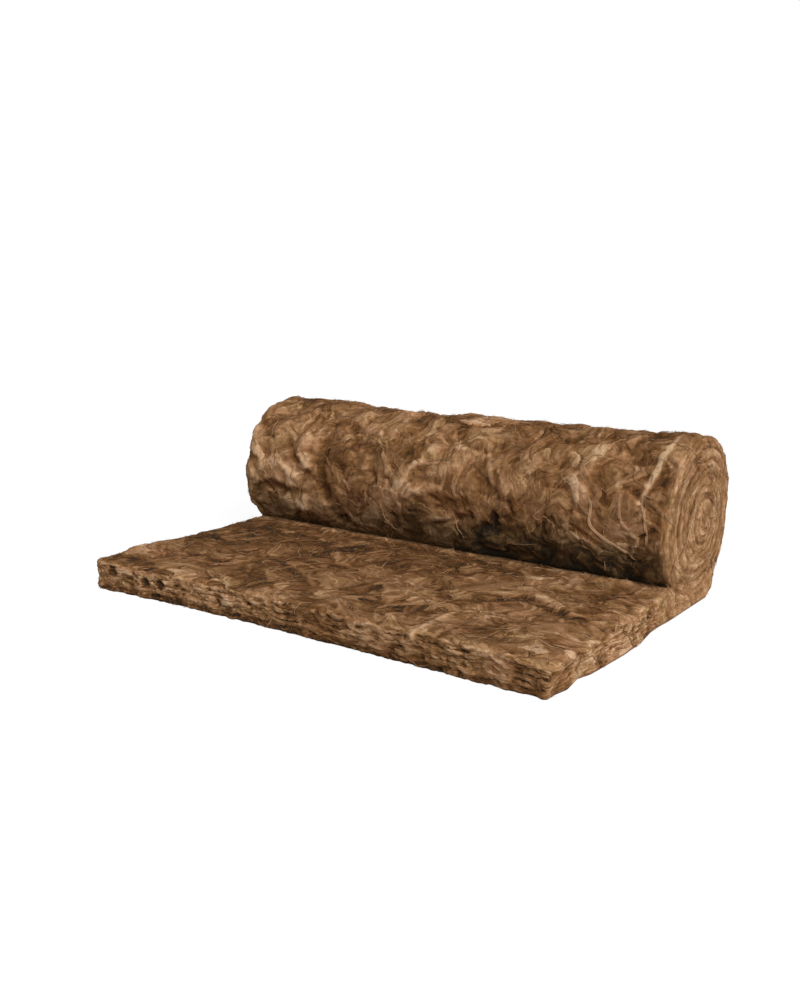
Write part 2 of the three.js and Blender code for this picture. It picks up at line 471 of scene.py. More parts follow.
def add_edge_strip(side):
    """Adds the rounded strip between an end's rim and the wall, and returns its wall points."""
    sunk = 1 - np.sin(edge_angle[1:, None])
    spots = outline[:, None] + (rim - outline)[:, None] * sunk
    face_x = side * (wall_edge + SIDE_EDGE_ROUND * np.cos(edge_angle[1:]))
    rim_cut = cut_mask(-SIDE_EDGE_ROUND * edge_angle[1:])
    strip = skin.add_points(
        vectors(face_x, spots[..., 0], spots[..., 1]),
        cut=np.maximum(np.maximum(row_cut, on_floor)[:, None], rim_cut),
        roll=row_roll[:, None],
        held=row_held[:, None],
    )
    across = side * (wall_edge + SIDE_EDGE_ROUND * edge_angle[::-1])
    from_rim = SIDE_EDGE_ROUND * edge_angle
    layer_x = row_along[rows, None] - from_rim * row_cut[rows, None]
    layer_x = layer_x if side > 0 else -CUT_LENGTH - layer_x
    depth = row_depth[rows, None] - from_rim * (1 - row_cut[rows, None])
    skin.add_grid(
        np.column_stack([rim_numbers[side], strip])[rows],
        vectors(across, walk[:, None], 0),
        vectors(layer_x, depth, side * (1 - edge_angle / edge_angle[-1])),
        vectors(MAP_EDGE + across, walk[:, None]) / MAP_SIDE,
    )
    return strip[:, -1]


edge_numbers = {side: add_edge_strip(side) for side in SIDES}
wall_rows = slice(turn_floor, run_floor + 1)
across = np.linspace(-wall_edge, wall_edge, WIDTH_STEPS + 1)
spots = outline[wall_rows, None]
wall = skin.add_points(
    vectors(across[1:-1], spots[..., 0], spots[..., 1]),
    cut=row_cut[wall_rows, None],
    roll=row_roll[wall_rows, None],
    held=row_held[wall_rows, None],
)
wall = np.column_stack([edge_numbers[-1][wall_rows], wall, edge_numbers[1][wall_rows]])
skin.add_grid(
    wall,
    vectors(across, walk[wall_rows, None], 0),
    vectors(across - CUT_LENGTH / 2, row_depth[wall_rows, None], 0),
    vectors(MAP_EDGE + across, walk[wall_rows, None]) / MAP_SIDE,
)
print(wall.shape, "points on the wall")

# %% The underside
MAP_UNDERSIDE = (1.32, 1.0)  # where the underside lies on the flat map, in metres
INSIDE_LOOP = 1  # the kind of result that keeps only what lies inside the loop
SAME_SPOT = 1e-9  # nearer points than this are one


def add_underside():
    """Fills the flat loop of points on the floor with triangles."""
    under = np.concatenate([np.arange(run_floor, len(outline)), np.arange(turn_floor + 1)])
    right, left = (edge_numbers[side][under] for side in SIDES)
    loop = np.concatenate([right, wall[0, -2:0:-1], left[::-1], wall[-1, 1:-1]])
    spots = np.vstack(skin.points)[loop][:, :2]
    sides = [(k, (k + 1) % len(loop)) for k in range(len(loop))]
    found = delaunay_2d_cdt([Vector(spot) for spot in spots], sides, [], INSIDE_LOOP, SAME_SPOT)
    triangles = np.array(found[2])
    flat_map = (spots[triangles][..., ::-1] + [0, MAT_WIDTH / 2] + MAP_UNDERSIDE) / MAP_SIDE
    places = np.zeros((*triangles.shape, 6))
    skin.add_faces(loop[triangles], np.concatenate([places, flat_map], -1))
    return len(triangles)


print(add_underside(), "triangles on the underside")

# %% [markdown]
# ## The wave and the puffs
#
# The plain skin still has to take the slow wave and the soft puffs of the slack roll. They
# follow the packed model's own rule, and grow from nothing at the height of the free run.

# %% Wave and puffs
GIRTH_WAVE = 0.005  # how far the roll swells and draws in
GIRTH_WAVE_SPACING = 0.460
PUFF_HEIGHT = 0.004
PUFF_SPACING = 0.150  # along the roll
PUFFS_AROUND = 8
FIRST_PUFF = 0.080  # from the left side edge
PUFF_WANDER = 1.2  # how far the rows of puffs wander, in radians


def swell_at(across, along, up):
    """How far the roll swells at a place, as a share of its distance from the roll's middle."""
    out, over = along - FREE_RUN, up - ROLL_HEIGHT
    angle = np.arctan2(over, out)
    wave = 2 * np.pi * across / GIRTH_WAVE_SPACING
    row = 2 * np.pi * (across + MAT_WIDTH / 2 - FIRST_PUFF) / PUFF_SPACING
    puff = np.cos(row + PUFF_WANDER * np.sin(2 * angle))
    puff *= np.cos(PUFFS_AROUND * angle + PUFF_WANDER * np.sin(wave))
    outward = np.hypot(out, over) / FIRST_TURN_RADIUS
    rise = np.clip((up - LOFT) / (ROLL_HEIGHT - LOFT), 0, 1)
    swell = GIRTH_WAVE * np.sin(wave + angle) + PUFF_HEIGHT * outward * puff
    return swell * (rise**2 * (3 - 2 * rise) / FIRST_TURN_RADIUS)


plain = np.vstack(skin.points)
most = swell_at(*plain.T).max() * FIRST_TURN_RADIUS
print(f"The roll swells by up to {most:.4f} m")

# %% [markdown]
# ## What handling did to the mat
#
# A mat that has been carried and unrolled is nowhere quite straight. The right side of the
# free run has spread at its foot, and the top slopes down to it. The left corner has been
# pulled forward, and the mat is thicker behind it. The ends of the roll bulge, its back has
# slumped, its top line rises and falls, and the crease wanders. All of these could be
# sculpted, but they are smooth moves of whole stretches, and as formulas on the points they
# stay easy to change: aside, then up and down, then forward and back.

# %% Moves aside
EDGE_DEPTH = 0.07  # how far in from a side edge such a move reaches
# Places from the cut edge on, and how far the foot of the right side stands out there
FOOT_PLACES = (0.03, 0.065, 0.12, 0.16, 0.29, 0.38, 0.44, 0.48, 0.56, 0.66, 0.78)
FOOT_SPREAD = (0.008, 0.015, 0.005, 0.016, 0.023, 0.021, 0.011, 0.009, 0.013, 0.013, 0.014)
FOOT_SLENDER = 1.5  # how fast the spread dies away above the foot
LEFT_BULGE = 0.004  # the left side stands out by this near the cut edge
LEFT_BULGE_REACH = 0.30
RIGHT_END_BULGE = (0.005, 0.012)  # the roll's right end stands out by this low down, and high up
RIGHT_END_HEIGHTS = (0.25, 0.33)
LEFT_END_BULGE = 0.010  # and its left end by this at its fullest
LEFT_END_HEIGHT = 0.12
LEFT_END_REACH = 0.08


def near_side(across):
    """1 at a side edge, and falling off towards the middle of the mat."""
    return bell(MAT_WIDTH / 2 - np.abs(across), 0, EDGE_DEPTH)


def low_down(up):
    """1 on the floor, and 0 at the top of the free run and above."""
    return (1 - up / LOFT).clip(0, 1)


def moved_aside(across, along, up):
    """How far the side edges of the free run and the ends of the roll stand out."""
    risen = np.interp(up, [LOFT / 2, LOFT * 3 / 2], [0, 1])
    right = np.interp(along, FOOT_PLACES, FOOT_SPREAD) * low_down(up) ** FOOT_SLENDER
    right = right + np.interp(up, RIGHT_END_HEIGHTS, RIGHT_END_BULGE) * risen
    left = LEFT_BULGE * np.interp(along, [0, LEFT_BULGE_REACH], [1, 0]) * (up <= LOFT)
    left = left + LEFT_END_BULGE * bell(up, LEFT_END_HEIGHT, LEFT_END_REACH) * risen
    return near_side(across) * np.where(across > 0, right, -left)


print("The foot of the right side spreads by up to", max(FOOT_SPREAD), "m")

# %% Moves up and down
LEFT_HUMP = 0.008  # the mat is thicker by this behind its left corner
LEFT_HUMP_PLACE = 0.135
LEFT_HUMP_REACH = 0.08
SHOULDER_DROP = 0.009  # the top of the free run slopes down to its right side by this
SHOULDER_REACH = 0.045
TOP_SAG = 0.004  # the roll's top line lies this low
TOP_PLACES = (-0.18, -0.10, 0.10, 0.18, 0.32, 0.42, 0.51, 0.57, 0.60)  # across
TOP_RISE = (0.0, -0.005, -0.006, 0.003, 0.001, -0.004, -0.007, 0.006, 0.004)  # above that


def risen_and_sunk(across, along, up):
    """How far the hump rises, and how far the roll's top line and the right shoulder sink."""
    upper = 1 - low_down(up)
    hump = LEFT_HUMP * bell(along, LEFT_HUMP_PLACE, LEFT_HUMP_REACH)
    hump = hump * near_side(across) * (across < 0) * upper
    top = ((up - ROLL_HEIGHT) / FIRST_TURN_RADIUS).clip(0, 1)
    sag = (TOP_SAG - np.interp(across, TOP_PLACES, TOP_RISE)) * top
    shoulder = SHOULDER_DROP * bell(across, MAT_WIDTH / 2, SHOULDER_REACH) * upper
    shoulder = shoulder * np.interp(along, [CREASE[0] - LOFT, CREASE[0]], [1, 0])
    return hump, sag, shoulder


print("The roll's top line varies by", round(max(TOP_RISE) - min(TOP_RISE), 3), "m")

# %% Moves forward and back
CORNER_FORWARD = 0.018  # the left corner of the cut edge has been pulled forward
CORNER_FORWARD_REACH = 0.25
CREASE_WAVES = ((0.0030, 0.330, 0.4), (0.0016, 0.117, 1.9))  # height, spacing and phase
CREASE_WAVE_REACH = 0.05
BACK_SLUMP = 0.008  # the back of the roll stands out low down
BACK_SLUMP_HEIGHT = 0.09
BACK_SLUMP_REACH = 0.06


def pulled_forward(across, along, up):
    """How far the left corner and the waves of the crease come forward."""
    forward = CORNER_FORWARD * bell(across, -MAT_WIDTH / 2, CORNER_FORWARD_REACH)
    forward *= np.interp(along, [0, CORNER_FORWARD_REACH], [1, 0])
    at_crease = bell(np.hypot(along - CREASE[0], up - CREASE[1]), 0, CREASE_WAVE_REACH)
    for height, spacing, phase in CREASE_WAVES:
        forward = forward + height * np.sin(2 * np.pi * across / spacing + phase) * at_crease
    return forward


def slumped_back(along, up):
    """How far the back of the roll stands out low down."""
    behind = ((along - FREE_RUN) / FIRST_TURN_RADIUS).clip(0, 1)
    return BACK_SLUMP * bell(up, BACK_SLUMP_HEIGHT, BACK_SLUMP_REACH) * behind


print("The left corner is pulled forward by", CORNER_FORWARD, "m")

# %% The closed skin
def shaped(points):
    """The skin's points with the roll's swells and all the moves, in the frame's place."""
    across, along, up = points.T
    swell = swell_at(across, along, up)
    forward, back = pulled_forward(across, along, up), slumped_back(along, up)
    hump, sag, shoulder = risen_and_sunk(across, along, up)
    return vectors(
        across + moved_aside(across, along, up),
        along + (along - FREE_RUN) * swell + back - forward + CUT_EDGE_Y,
        up + (up - ROLL_HEIGHT) * swell + hump - sag - shoulder,
    )


skin.points = [shaped(plain)]
wool = skin.make_object("wool")
build = bmesh.new()
build.from_mesh(wool.data)
bmesh.ops.recalc_face_normals(build, faces=build.faces)
print(f"The closed skin holds {build.calc_volume():.3f} cubic metres of wool")
build.to_mesh(wool.data)
build.free()
wool.data.shade_smooth()

# %% [markdown]
# ## Writing node trees as sums
#
# The relief of the wool is made by Geometry Nodes, and its colours by a material. Both need
# the same pattern, so both are written with one small class. A `Wire` is a socket of a node
# tree. Sums and products of wires add the nodes that work them out, and `node` adds
# any other node from its settings and the values of its sockets.

# %% Wire
SEED_SHIFT = (3.7, 1.3)  # how far apart on the plane two seeds of the noise start, in metres


class Wire:
    """A socket of a node tree that can be written in a sum, such as 1 - mask * 0.5."""

    def __init__(self, tree, socket=None):
        self.tree, self.socket = tree, socket

    def node(self, kind, settings=None, sockets=None):
        """Adds a node to the tree: first its settings, then the values or wires of its sockets."""
        made = self.tree.nodes.new(kind)
        for name, value in (settings or {}).items():
            if name == "stops":
                ramp = made.color_ramp
                while len(ramp.elements) < len(value):
                    ramp.elements.new(0.5)
                for stop, (place, colour) in zip(ramp.elements, value):
                    stop.position, stop.color = place, (*colour, 1)
            else:
                setattr(made, name, value)
        for name, value in (sockets or {}).items():
            if isinstance(value, Wire):
                self.tree.links.new(value.socket, made.inputs[name])
            else:
                made.inputs[name].default_value = value
        given = [socket for socket in made.outputs if socket.enabled]
        return Wire(self.tree, given[0] if given else None)

    def __getitem__(self, output):
        """Another output of the same node."""
        return Wire(self.tree, self.socket.node.outputs[output])

    def maths(self, operation, first, second=0.0):
        """A Math node, or a Vector Math node where one of the two is a vector or a colour."""
        both = (first, second)
        wires = [value for value in both if isinstance(value, Wire)]
        numbers = all(wire.socket.type in ("VALUE", "INT") for wire in wires)
        if numbers and not any(isinstance(value, tuple) for value in both):
            return self.node("ShaderNodeMath", {"operation": operation}, {0: first, 1: second})
        whole = [value if isinstance(value, (Wire, tuple)) else (value,) * 3 for value in both]
        return self.node("ShaderNodeVectorMath", {"operation": operation}, dict(enumerate(whole)))

    def __add__(self, other):
        return self.maths("ADD", self, other)

    def __radd__(self, other):
        return self.maths("ADD", other, self)

    def __sub__(self, other):
        return self.maths("SUBTRACT", self, other)

    def __rsub__(self, other):
        return self.maths("SUBTRACT", other, self)

    def __mul__(self, other):
        return self.maths("MULTIPLY", self, other)

    def __rmul__(self, other):
        return self.maths("MULTIPLY", other, self)

    def __truediv__(self, other):
        return self.maths("DIVIDE", self, other)

    def __abs__(self):
        return self.maths("ABSOLUTE", self)

    def above(self, level):
        """1 where this is more than a level, and 0 elsewhere."""
        return self.maths("GREATER_THAN", self, level)

    def highest(self, other):
        return self.maths("MAXIMUM", self, other)

    def lowest(self, other):
        return self.maths("MINIMUM", self, other)

    def ramp(self, low, high):
        """A smooth step from 0 at low to 1 at high."""
        smooth = {"interpolation_type": "SMOOTHSTEP"}
        sockets = {"Value": self, "From Min": low, "From Max": high}
        return self.node("ShaderNodeMapRange", smooth, sockets)

    def toward(self, other, share):
        """This value or colour, gone over to another one by a share."""
        kind, at = ("FLOAT", 2) if self.socket.type == "VALUE" else ("RGBA", 6)
        return self.node("ShaderNodeMix", {"data_type": kind}, {0: share, at: self, at + 1: other})

    def length(self):
        return self.node("ShaderNodeVectorMath", {"operation": "LENGTH"}, {0: self})

    def parts(self):
        split = self.node("ShaderNodeSeparateXYZ", sockets={0: self})
        return split["X"], split["Y"], split["Z"]

    def vector(self, x, y, z=0.0):
        return self.node("ShaderNodeCombineXYZ", sockets={0: x, 1: y, 2: z})

    def turned(self, angle):
        """A flat place, turned about the origin."""
        about = {"rotation_type": "Z_AXIS"}
        return self.node("ShaderNodeVectorRotate", about, {"Vector": self, "Angle": angle})

    def noise(self, scale, detail=2.0, roughness=0.5, seed=0.0):
        """Smooth noise from about 0.2 to 0.8 on a flat place, with details per metre."""
        spot = self + (SEED_SHIFT[0] * seed, SEED_SHIFT[1] * seed, 0.0) if seed else self
        sockets = {"Vector": spot, "Scale": scale, "Detail": detail, "Roughness": roughness}
        return self.node("ShaderNodeTexNoise", {"noise_dimensions": "2D"}, sockets)

    def bent(self, reach, scale, detail=2.0, seed=0.0, by=None):
        """A place moved about by noise, which is drawn on this place or on another one."""
        return self + ((by or self).noise(scale, detail, seed=seed)["Color"] - 0.5) * reach


print("A wire can be", *(name for name in vars(Wire) if not name.startswith("_")))

# %% [markdown]
# ## The pattern of the wool
#
# Mineral wool is blown and laid down in tufts. Each tuft is a flat lock of fibres that all
# run about one way, and later tufts lie over earlier ones. So the pattern has three layers
# of tufts: each is a Voronoi pattern of long cells whose borders are bent by noise, every
# cell has its own height, tone and fibre direction, and a layer shows where it stands
# highest. Folds are narrow valleys where smooth noise crosses its middle.

# %% One layer of tufts
TUFT_LENGTHEN = 2.1
FIBRE_SPREAD = 2.2  # how far fibre directions differ from tuft to tuft, in radians
FIBRE_CURVE = 8  # how strongly the fibres of a tuft bend
BROAD_STREAKS = (20, 75)  # in a metre along the fibres, and in a metre across them
FINE_STREAKS = (80, 240)
BROAD_SHARE, FINE_SHARE = 0.6, 0.4
TUFT_FOOT = 0.15  # the least height of a tuft, to which the next four are added
TUFT_STEP = 0.5  # how much higher one tuft may stand than another
TUFT_ROUND = 0.22  # how far its middle stands above its border
TUFT_TILT = 0.55  # each tuft lies aslant on the one below
STREAK_HEIGHT = 0.3
BORDER_REACH = 0.3  # how far in from its border a tuft is rounded, in cells
LAYER_SHIFT = (1.0, 0.7)  # how far apart on the plane two layers start, in metres


def tuft_layer(place, size, lean, seed, detail):
    """One layer of tufts: its height, the tone of each tuft, and its streaks, all from 0 to 1."""
    start = (LAYER_SHIFT[0] * seed, LAYER_SHIFT[1] * seed, 0.0)
    laid = (place + start).turned(lean) * (1 / TUFT_LENGTHEN, 1.0, 0.0)
    flat, scale = {"voronoi_dimensions": "2D"}, {"Vector": laid, "Scale": 1 / size}
    cell = place.node("ShaderNodeTexVoronoi", flat, scale)
    border = place.node("ShaderNodeTexVoronoi", {**flat, "feature": "DISTANCE_TO_EDGE"}, scale)
    tone, spin, rise = cell["Color"].parts()
    inside = (laid - cell["Position"]) * (TUFT_LENGTHEN, 1.0, 0.0)
    along, across, _ = inside.turned((spin - 0.5) * FIBRE_SPREAD).parts()
    curved = across + (tone - 0.5) * FIBRE_CURVE * along * along
    broad, fine = (
        place.vector(along * lengthways, curved * sideways, 0.0).noise(1.0, octaves, rough, seed)
        for (lengthways, sideways), octaves, rough in (
            (BROAD_STREAKS, 1.0, 0.5),
            (FINE_STREAKS, detail, 0.75),
        )
    )
    streak = broad * BROAD_SHARE + fine * FINE_SHARE
    rounded = border.ramp(0.0, BORDER_REACH) * TUFT_ROUND + TUFT_STEP * rise + TUFT_FOOT
    tilted = (across / size) * TUFT_TILT
    return rounded + tilted + (streak - 0.5) * STREAK_HEIGHT, tone, streak


print("A tuft is", TUFT_LENGTHEN, "times as long as it is wide")

# %% All layers together
TUFT_SIZES = (0.090, 0.055, 0.034)
TUFT_LEANS = (1.25, 0.75, 2.2)  # the way the cells of each layer are long, in radians
TUFT_BENDS = ((0.09, 8.0, 1.0), (0.022, 36.0, 2.0))  # reach, details in a metre, and octaves
LAYER_EDGE = 4  # how sharply one layer gives way to the next


def wool_pattern(place, detail):
    """Height, tone and streaks of all layers of tufts together, on a place of the outer face."""
    across, along, _ = place.parts()
    on_run = along.above(CREASE_WALK)
    place = place + (place.vector(along, 0.0 - across) - place) * on_run
    bent = place.bent(*TUFT_BENDS[0]).bent(*TUFT_BENDS[1], seed=5, by=place)
    height = tone = streak = None
    for number, (size, lean) in enumerate(zip(TUFT_SIZES, TUFT_LEANS)):
        layer = tuft_layer(bent, size, lean, number + 1.0, detail)
        if height is None:
            height, tone, streak = layer
            continue
        above = ((layer[0] - height) * LAYER_EDGE + 0.5).ramp(0.0, 1.0)
        tone, streak = tone.toward(layer[1], above), streak.toward(layer[2], above)
        height = height.toward(layer[0], above)
    return height, tone, streak


print("Tufts are", TUFT_SIZES, "m across")

# %% Folds, puffs and thin lines
FOLD_SCALE = 7.5  # in a metre, about
FOLD_SLENDER = 16  # how narrow a fold is
FOLD_BEND = (0.05, 14.0, 2.0)  # reach, details in a metre, and octaves
FOLD_PATCHES = 6.0  # in a metre, of the noise that lets them show
FOLDS_SHOW = (0.42, 0.62)  # levels of that noise: no folds below, and full ones above
PUFF_SCALE = 8.5
PUFF_BEND = (0.05, 16.0, 1.0)
PUFF_STEEP = 4  # how soon a puff rises from the creases beside it
LINE_SLENDER = 1.6
LINE_BEND = (0.05, 25.0, 2.0)
LINE_PATCHES = 13.0
LINES_SHOW = (0.5, 0.66)


def folds(place):
    """1 in the bottom of a fold, and 0 away from it."""
    bent = place.bent(*FOLD_BEND, seed=8)
    near = 1 - abs(bent.noise(FOLD_SCALE, 1.0, seed=9) - 0.5) * FOLD_SLENDER
    patchy = bent.noise(FOLD_PATCHES, 0.0, seed=11).ramp(*FOLDS_SHOW)
    return near.ramp(0.0, 1.0) * patchy


def puffs(place):
    """Soft swellings of the slack wool, from 0 to 1, with creases between them."""
    bent = place.bent(*PUFF_BEND, seed=3)
    return (abs(bent.noise(PUFF_SCALE, 1.0, seed=4) - 0.5) * PUFF_STEEP).lowest(1.0)


def thin_lines(place, scale, seed):
    """Thin curved lines, 1 in their middle, where smooth noise crosses a level."""
    bent = place.bent(*LINE_BEND, seed=seed)
    line = 1 - abs(bent.noise(scale, 0.0, seed=seed + 1) - 0.5) * (LINE_SLENDER * scale)
    shown = bent.noise(LINE_PATCHES, 1.0, seed=seed + 2).ramp(*LINES_SHOW)
    return line.ramp(0.0, 1.0) * shown


print(f"Folds are about {1 / FOLD_SCALE:.2f} m apart, and puffs {1 / PUFF_SCALE:.2f} m")

# %% [markdown]
# ## Single lumps, locks and folds
#
# A few features are too large to leave to chance: the pillow-like lumps at the left end of
# the roll, the dark fold beside them, the long pale lock that crosses the roll near its
# right end, the locks on the free run, two small holes in the cut edge, and a few tufts that
# hang into the crease. Each is a line through a few places of the outer face, with a half
# width, a height and a tone. Noise bends the sides of these lines, so none looks drawn.

# %% Lumps and hollows
# Marks that sink in have a dark tone, which is painted shade in their hollows.
MARKS = (  # places (across, walk) that it passes, half width, height, tone
    (((-0.590, 0.920), (-0.568, 0.970)), 0.034, 0.007, 0.18),
    (((-0.565, 1.030), (-0.500, 1.020), (-0.450, 1.040)), 0.045, 0.011, 0.18),
    (((-0.412, 0.930), (-0.398, 1.000)), 0.028, 0.010, 0.20),
    (((-0.480, 1.115), (-0.410, 1.110)), 0.030, 0.008, 0.17),
    (((-0.350, 0.920), (-0.345, 1.040), (-0.330, 1.080)), 0.026, -0.008, -0.20),
    (((-0.325, 1.060), (-0.290, 1.140)), 0.032, -0.006, -0.10),
    (((-0.600, 1.070), (-0.600, 1.120)), 0.040, 0.005, 0.04),
    (((-0.600, 0.750), (-0.590, 0.850)), 0.055, 0.007, 0.00),
    (((-0.095, 1.030), (-0.045, 1.020)), 0.035, 0.008, 0.18),
    (((0.000, 0.970), (0.045, 0.950)), 0.032, 0.005, 0.17),
    (((0.050, 0.885), (0.020, 0.925)), 0.016, 0.002, 0.13),
    (((0.150, 0.885), (0.085, 0.930)), 0.017, 0.003, 0.13),
    (((-0.015, 0.905), (-0.040, 0.955)), 0.012, 0.002, 0.15),
    (((0.425, 0.835), (0.390, 0.945), (0.389, 0.970)), 0.034, 0.004, 0.16),
    (((0.588, 0.870), (0.592, 0.930)), 0.026, 0.000, 0.17),
    (((-0.050, 0.760), (0.090, 0.765)), 0.035, 0.000, -0.14),
    (((0.450, 0.860), (0.485, 0.865)), 0.013, 0.002, 0.18),
    (((0.455, 0.898), (0.485, 0.945)), 0.010, 0.002, 0.16),
    (((0.100, 1.040), (0.030, 1.060)), 0.020, -0.004, -0.16),
    (((0.220, 1.025), (0.230, 1.035)), 0.011, -0.004, -0.30),
    (((0.175, 1.060), (0.185, 1.080)), 0.014, -0.004, -0.28),
    (((0.110, 1.065), (0.120, 1.075)), 0.011, -0.004, -0.25),
    (((-0.046, 1.000), (-0.040, 1.006)), 0.010, -0.004, -0.25),
    (((0.395, 1.418), (0.446, 1.443), (0.490, 1.472)), 0.017, 0.004, 0.26),
    (((0.335, 1.490), (0.345, 1.456), (0.393, 1.450), (0.449, 1.477), (0.488, 1.490)),
        0.018, -0.004, -0.20),
    (((0.506, 1.502), (0.537, 1.480), (0.569, 1.442)), 0.022, -0.005, -0.22),
    (((-0.245, 1.268), (-0.133, 1.299)), 0.018, 0.003, 0.16),
    (((0.370, CREASE_WALK + 0.024), (0.490, CREASE_WALK + 0.024)), 0.042, 0.009, 0.05),
    # a broad patch of painted shade over the top of the roll's left half
    (((-0.500, 0.775), (-0.220, 0.785)), 0.070, 0.000, -0.09),
)
MARK_WANDER = 0.030  # how far noise bends their sides, in metres
print(len(MARKS), "lumps, hollows and patches")

# %% Locks and narrow folds
PALE_LOCK = ((0.553, 0.748), (0.556, 0.819), (0.550, 0.890), (0.540, 0.955), (0.531, 0.980))
HOOKED_STRAND = (
    (0.490, 0.960), (0.492, 0.985), (0.494, 1.005), (0.498, 1.022), (0.505, 1.038), (0.514, 1.045),
    (0.524, 1.041), (0.531, 1.030),
)
LOCKS = (  # the same as for the lumps
    (PALE_LOCK, 0.008, 0.001, 0.40),
    (((0.555, 0.820), (0.549, 0.900), (0.543, 0.935)), 0.012, 0.003, 0.30),
    (((0.405, 0.966), (0.412, 0.978)), 0.012, 0.003, 0.18),
    (HOOKED_STRAND, 0.008, 0.001, 0.12),
    (((0.140, 0.909), (0.175, 0.985)), 0.010, 0.003, 0.22),
    # the next three are folds, and their dark tone is painted shade in them
    (((-0.465, 0.940), (-0.440, 0.980), (-0.385, 1.020)), 0.014, -0.005, -0.16),
    (((-0.598, 0.985), (-0.562, 1.000)), 0.012, -0.004, -0.14),
    (((-0.530, 1.068), (-0.420, 1.078)), 0.015, -0.004, -0.12),
    (((0.310, 1.765), (0.307, 1.700), (0.309, 1.615)), 0.009, 0.002, 0.26),
    (((0.216, 1.744), (0.213, 1.690)), 0.008, 0.001, 0.20),
    (((0.507, 1.528), (0.510, 1.535)), 0.009, 0.002, 0.30),
    (((0.186, 1.526), (0.234, 1.490)), 0.010, 0.001, 0.18),
    (((0.367, 1.572), (0.401, 1.515)), 0.010, 0.001, 0.16),
    (((0.527, 1.331), (0.565, 1.329)), 0.009, 0.001, 0.20),
    (((0.454, 1.740), (0.480, 1.760), (0.502, 1.770)), 0.008, 0.001, 0.20),
    (((-0.195, 1.609), (-0.178, 1.527), (-0.141, 1.486)), 0.008, 0.001, 0.22),
    (((-0.153, 1.555), (-0.100, 1.591), (-0.041, 1.635)), 0.009, 0.001, 0.18),
    (((-0.431, 1.631), (-0.336, 1.628), (-0.289, 1.528)), 0.008, 0.001, 0.18),
    (((-0.437, 1.551), (-0.356, 1.593)), 0.009, 0.001, 0.22),
    # a small hollow whose dark tone is painted shade
    (((-0.545, EDGE_WALK + 0.014), (-0.537, EDGE_WALK + 0.013)), 0.012, -0.003, -0.40),
    (((-0.528, EDGE_WALK + 0.006), (-0.485, EDGE_WALK + 0.005)), 0.009, 0.002, 0.25),
)
LOCK_WANDER = 0.007  # their sides are smoother
print(len(LOCKS), "locks and folds")

# %% Holes and crease tufts
HOLES = ((-0.434, 0.020), (-0.391, 0.018))  # across, and down the cut edge
HOLE = (0.017, -0.007, -1.0)  # half width, height and tone; the black tone is painted shade in the hole
HOLE_BRIM = (0.024, 0.003, 0.22)
HOLE_HALF_LENGTH = 0.001
CREASE_TUFTS = (-0.46, -0.36, -0.28, -0.19, -0.10, 0.01, 0.10, 0.20)  # across
CREASE_TUFT = (0.012, 0.005, 0.15)
CREASE_TUFT_WAY = ((0.0, 0.026), (0.04, 0.034))  # its line, from there and from the crease

SMALL_MARKS = [
    (tuple((x + aside, CREASE_WALK + up) for aside, up in CREASE_TUFT_WAY), *CREASE_TUFT)
    for x in CREASE_TUFTS
]
for x, down in HOLES:
    spot = tuple((x + end, EDGE_WALK + down) for end in (-HOLE_HALF_LENGTH, HOLE_HALF_LENGTH))
    SMALL_MARKS += [(spot, *HOLE_BRIM), (spot, *HOLE)]
print(len(SMALL_MARKS), "small marks")

# %% Nodes for the marks
MARK_EDGE = 0.7  # share of a mark's half width over which it fades
MARK_GRAIN = 30.0  # in a metre, of the noise that bends the sides of the marks


def near_line(place, points, half_width):
    """1 on a line through the points, and 0 half a width away from it."""
    distance = None
    for start, end in zip(points, points[1:]):
        way = Vector(end) - Vector(start)
        along, aside, _ = (place - (*start, 0.0)).turned(-math.atan2(way.y, way.x)).parts()
        past = (abs(along - way.length / 2) - way.length / 2).highest(0.0)
        away = past.vector(past, aside).length()
        distance = distance.lowest(away) if distance else away
    return (1 - distance / half_width).ramp(0.0, MARK_EDGE)


def marks(place):
    """Height and tone of all the marks and locks together, and where locks lie."""
    bend = place.noise(MARK_GRAIN, 1.0, seed=15)["Color"] - 0.5
    height, tone, locked = 0.0, 0.0, 0.0
    tables = ((MARKS, MARK_WANDER), (LOCKS, LOCK_WANDER), (SMALL_MARKS, LOCK_WANDER))
    for table, wander in tables:
        bent = place + bend * wander
        for points, half_width, rise, shade in table:
            near = near_line(bent, points, half_width)
            height, tone = near * rise + height, near * shade + tone
            locked = near.highest(locked) if table is LOCKS else locked
    return height, tone, locked


print("Noise moves the sides of a lump by up to", MARK_WANDER / 2, "m")

# %% [markdown]
# ## The cut faces
#
# Where the mat was cut, its layers show: fine wavy laminations that run along the mat. On the
# ends of the roll they follow the turns, and are finer. The saw tore the wool, so there are
# pits, mostly on the square-cut front edge, and the border of a cut face is ragged. Stretched
# and bent noise draws such layers without an image texture, and it never repeats.

# %% The torn border of a cut face
BORDER_GRAIN = 45.0  # in a metre
BORDER_FULL = 1.4  # how strong the cut mask is
BORDER_RAGGED = 1.2  # and how strong the noise that tears its border
BORDER_SHOWS = (0.45, 0.95)


def cut_border(cut, face):
    """The cut mask with a torn border."""
    full = cut * BORDER_FULL
    torn = full + (face.noise(BORDER_GRAIN, 3.0, seed=21) - 0.5) * BORDER_RAGGED
    return torn.ramp(*BORDER_SHOWS)


print("Tears in the border are about", round(1 / BORDER_GRAIN, 3), "m wide")

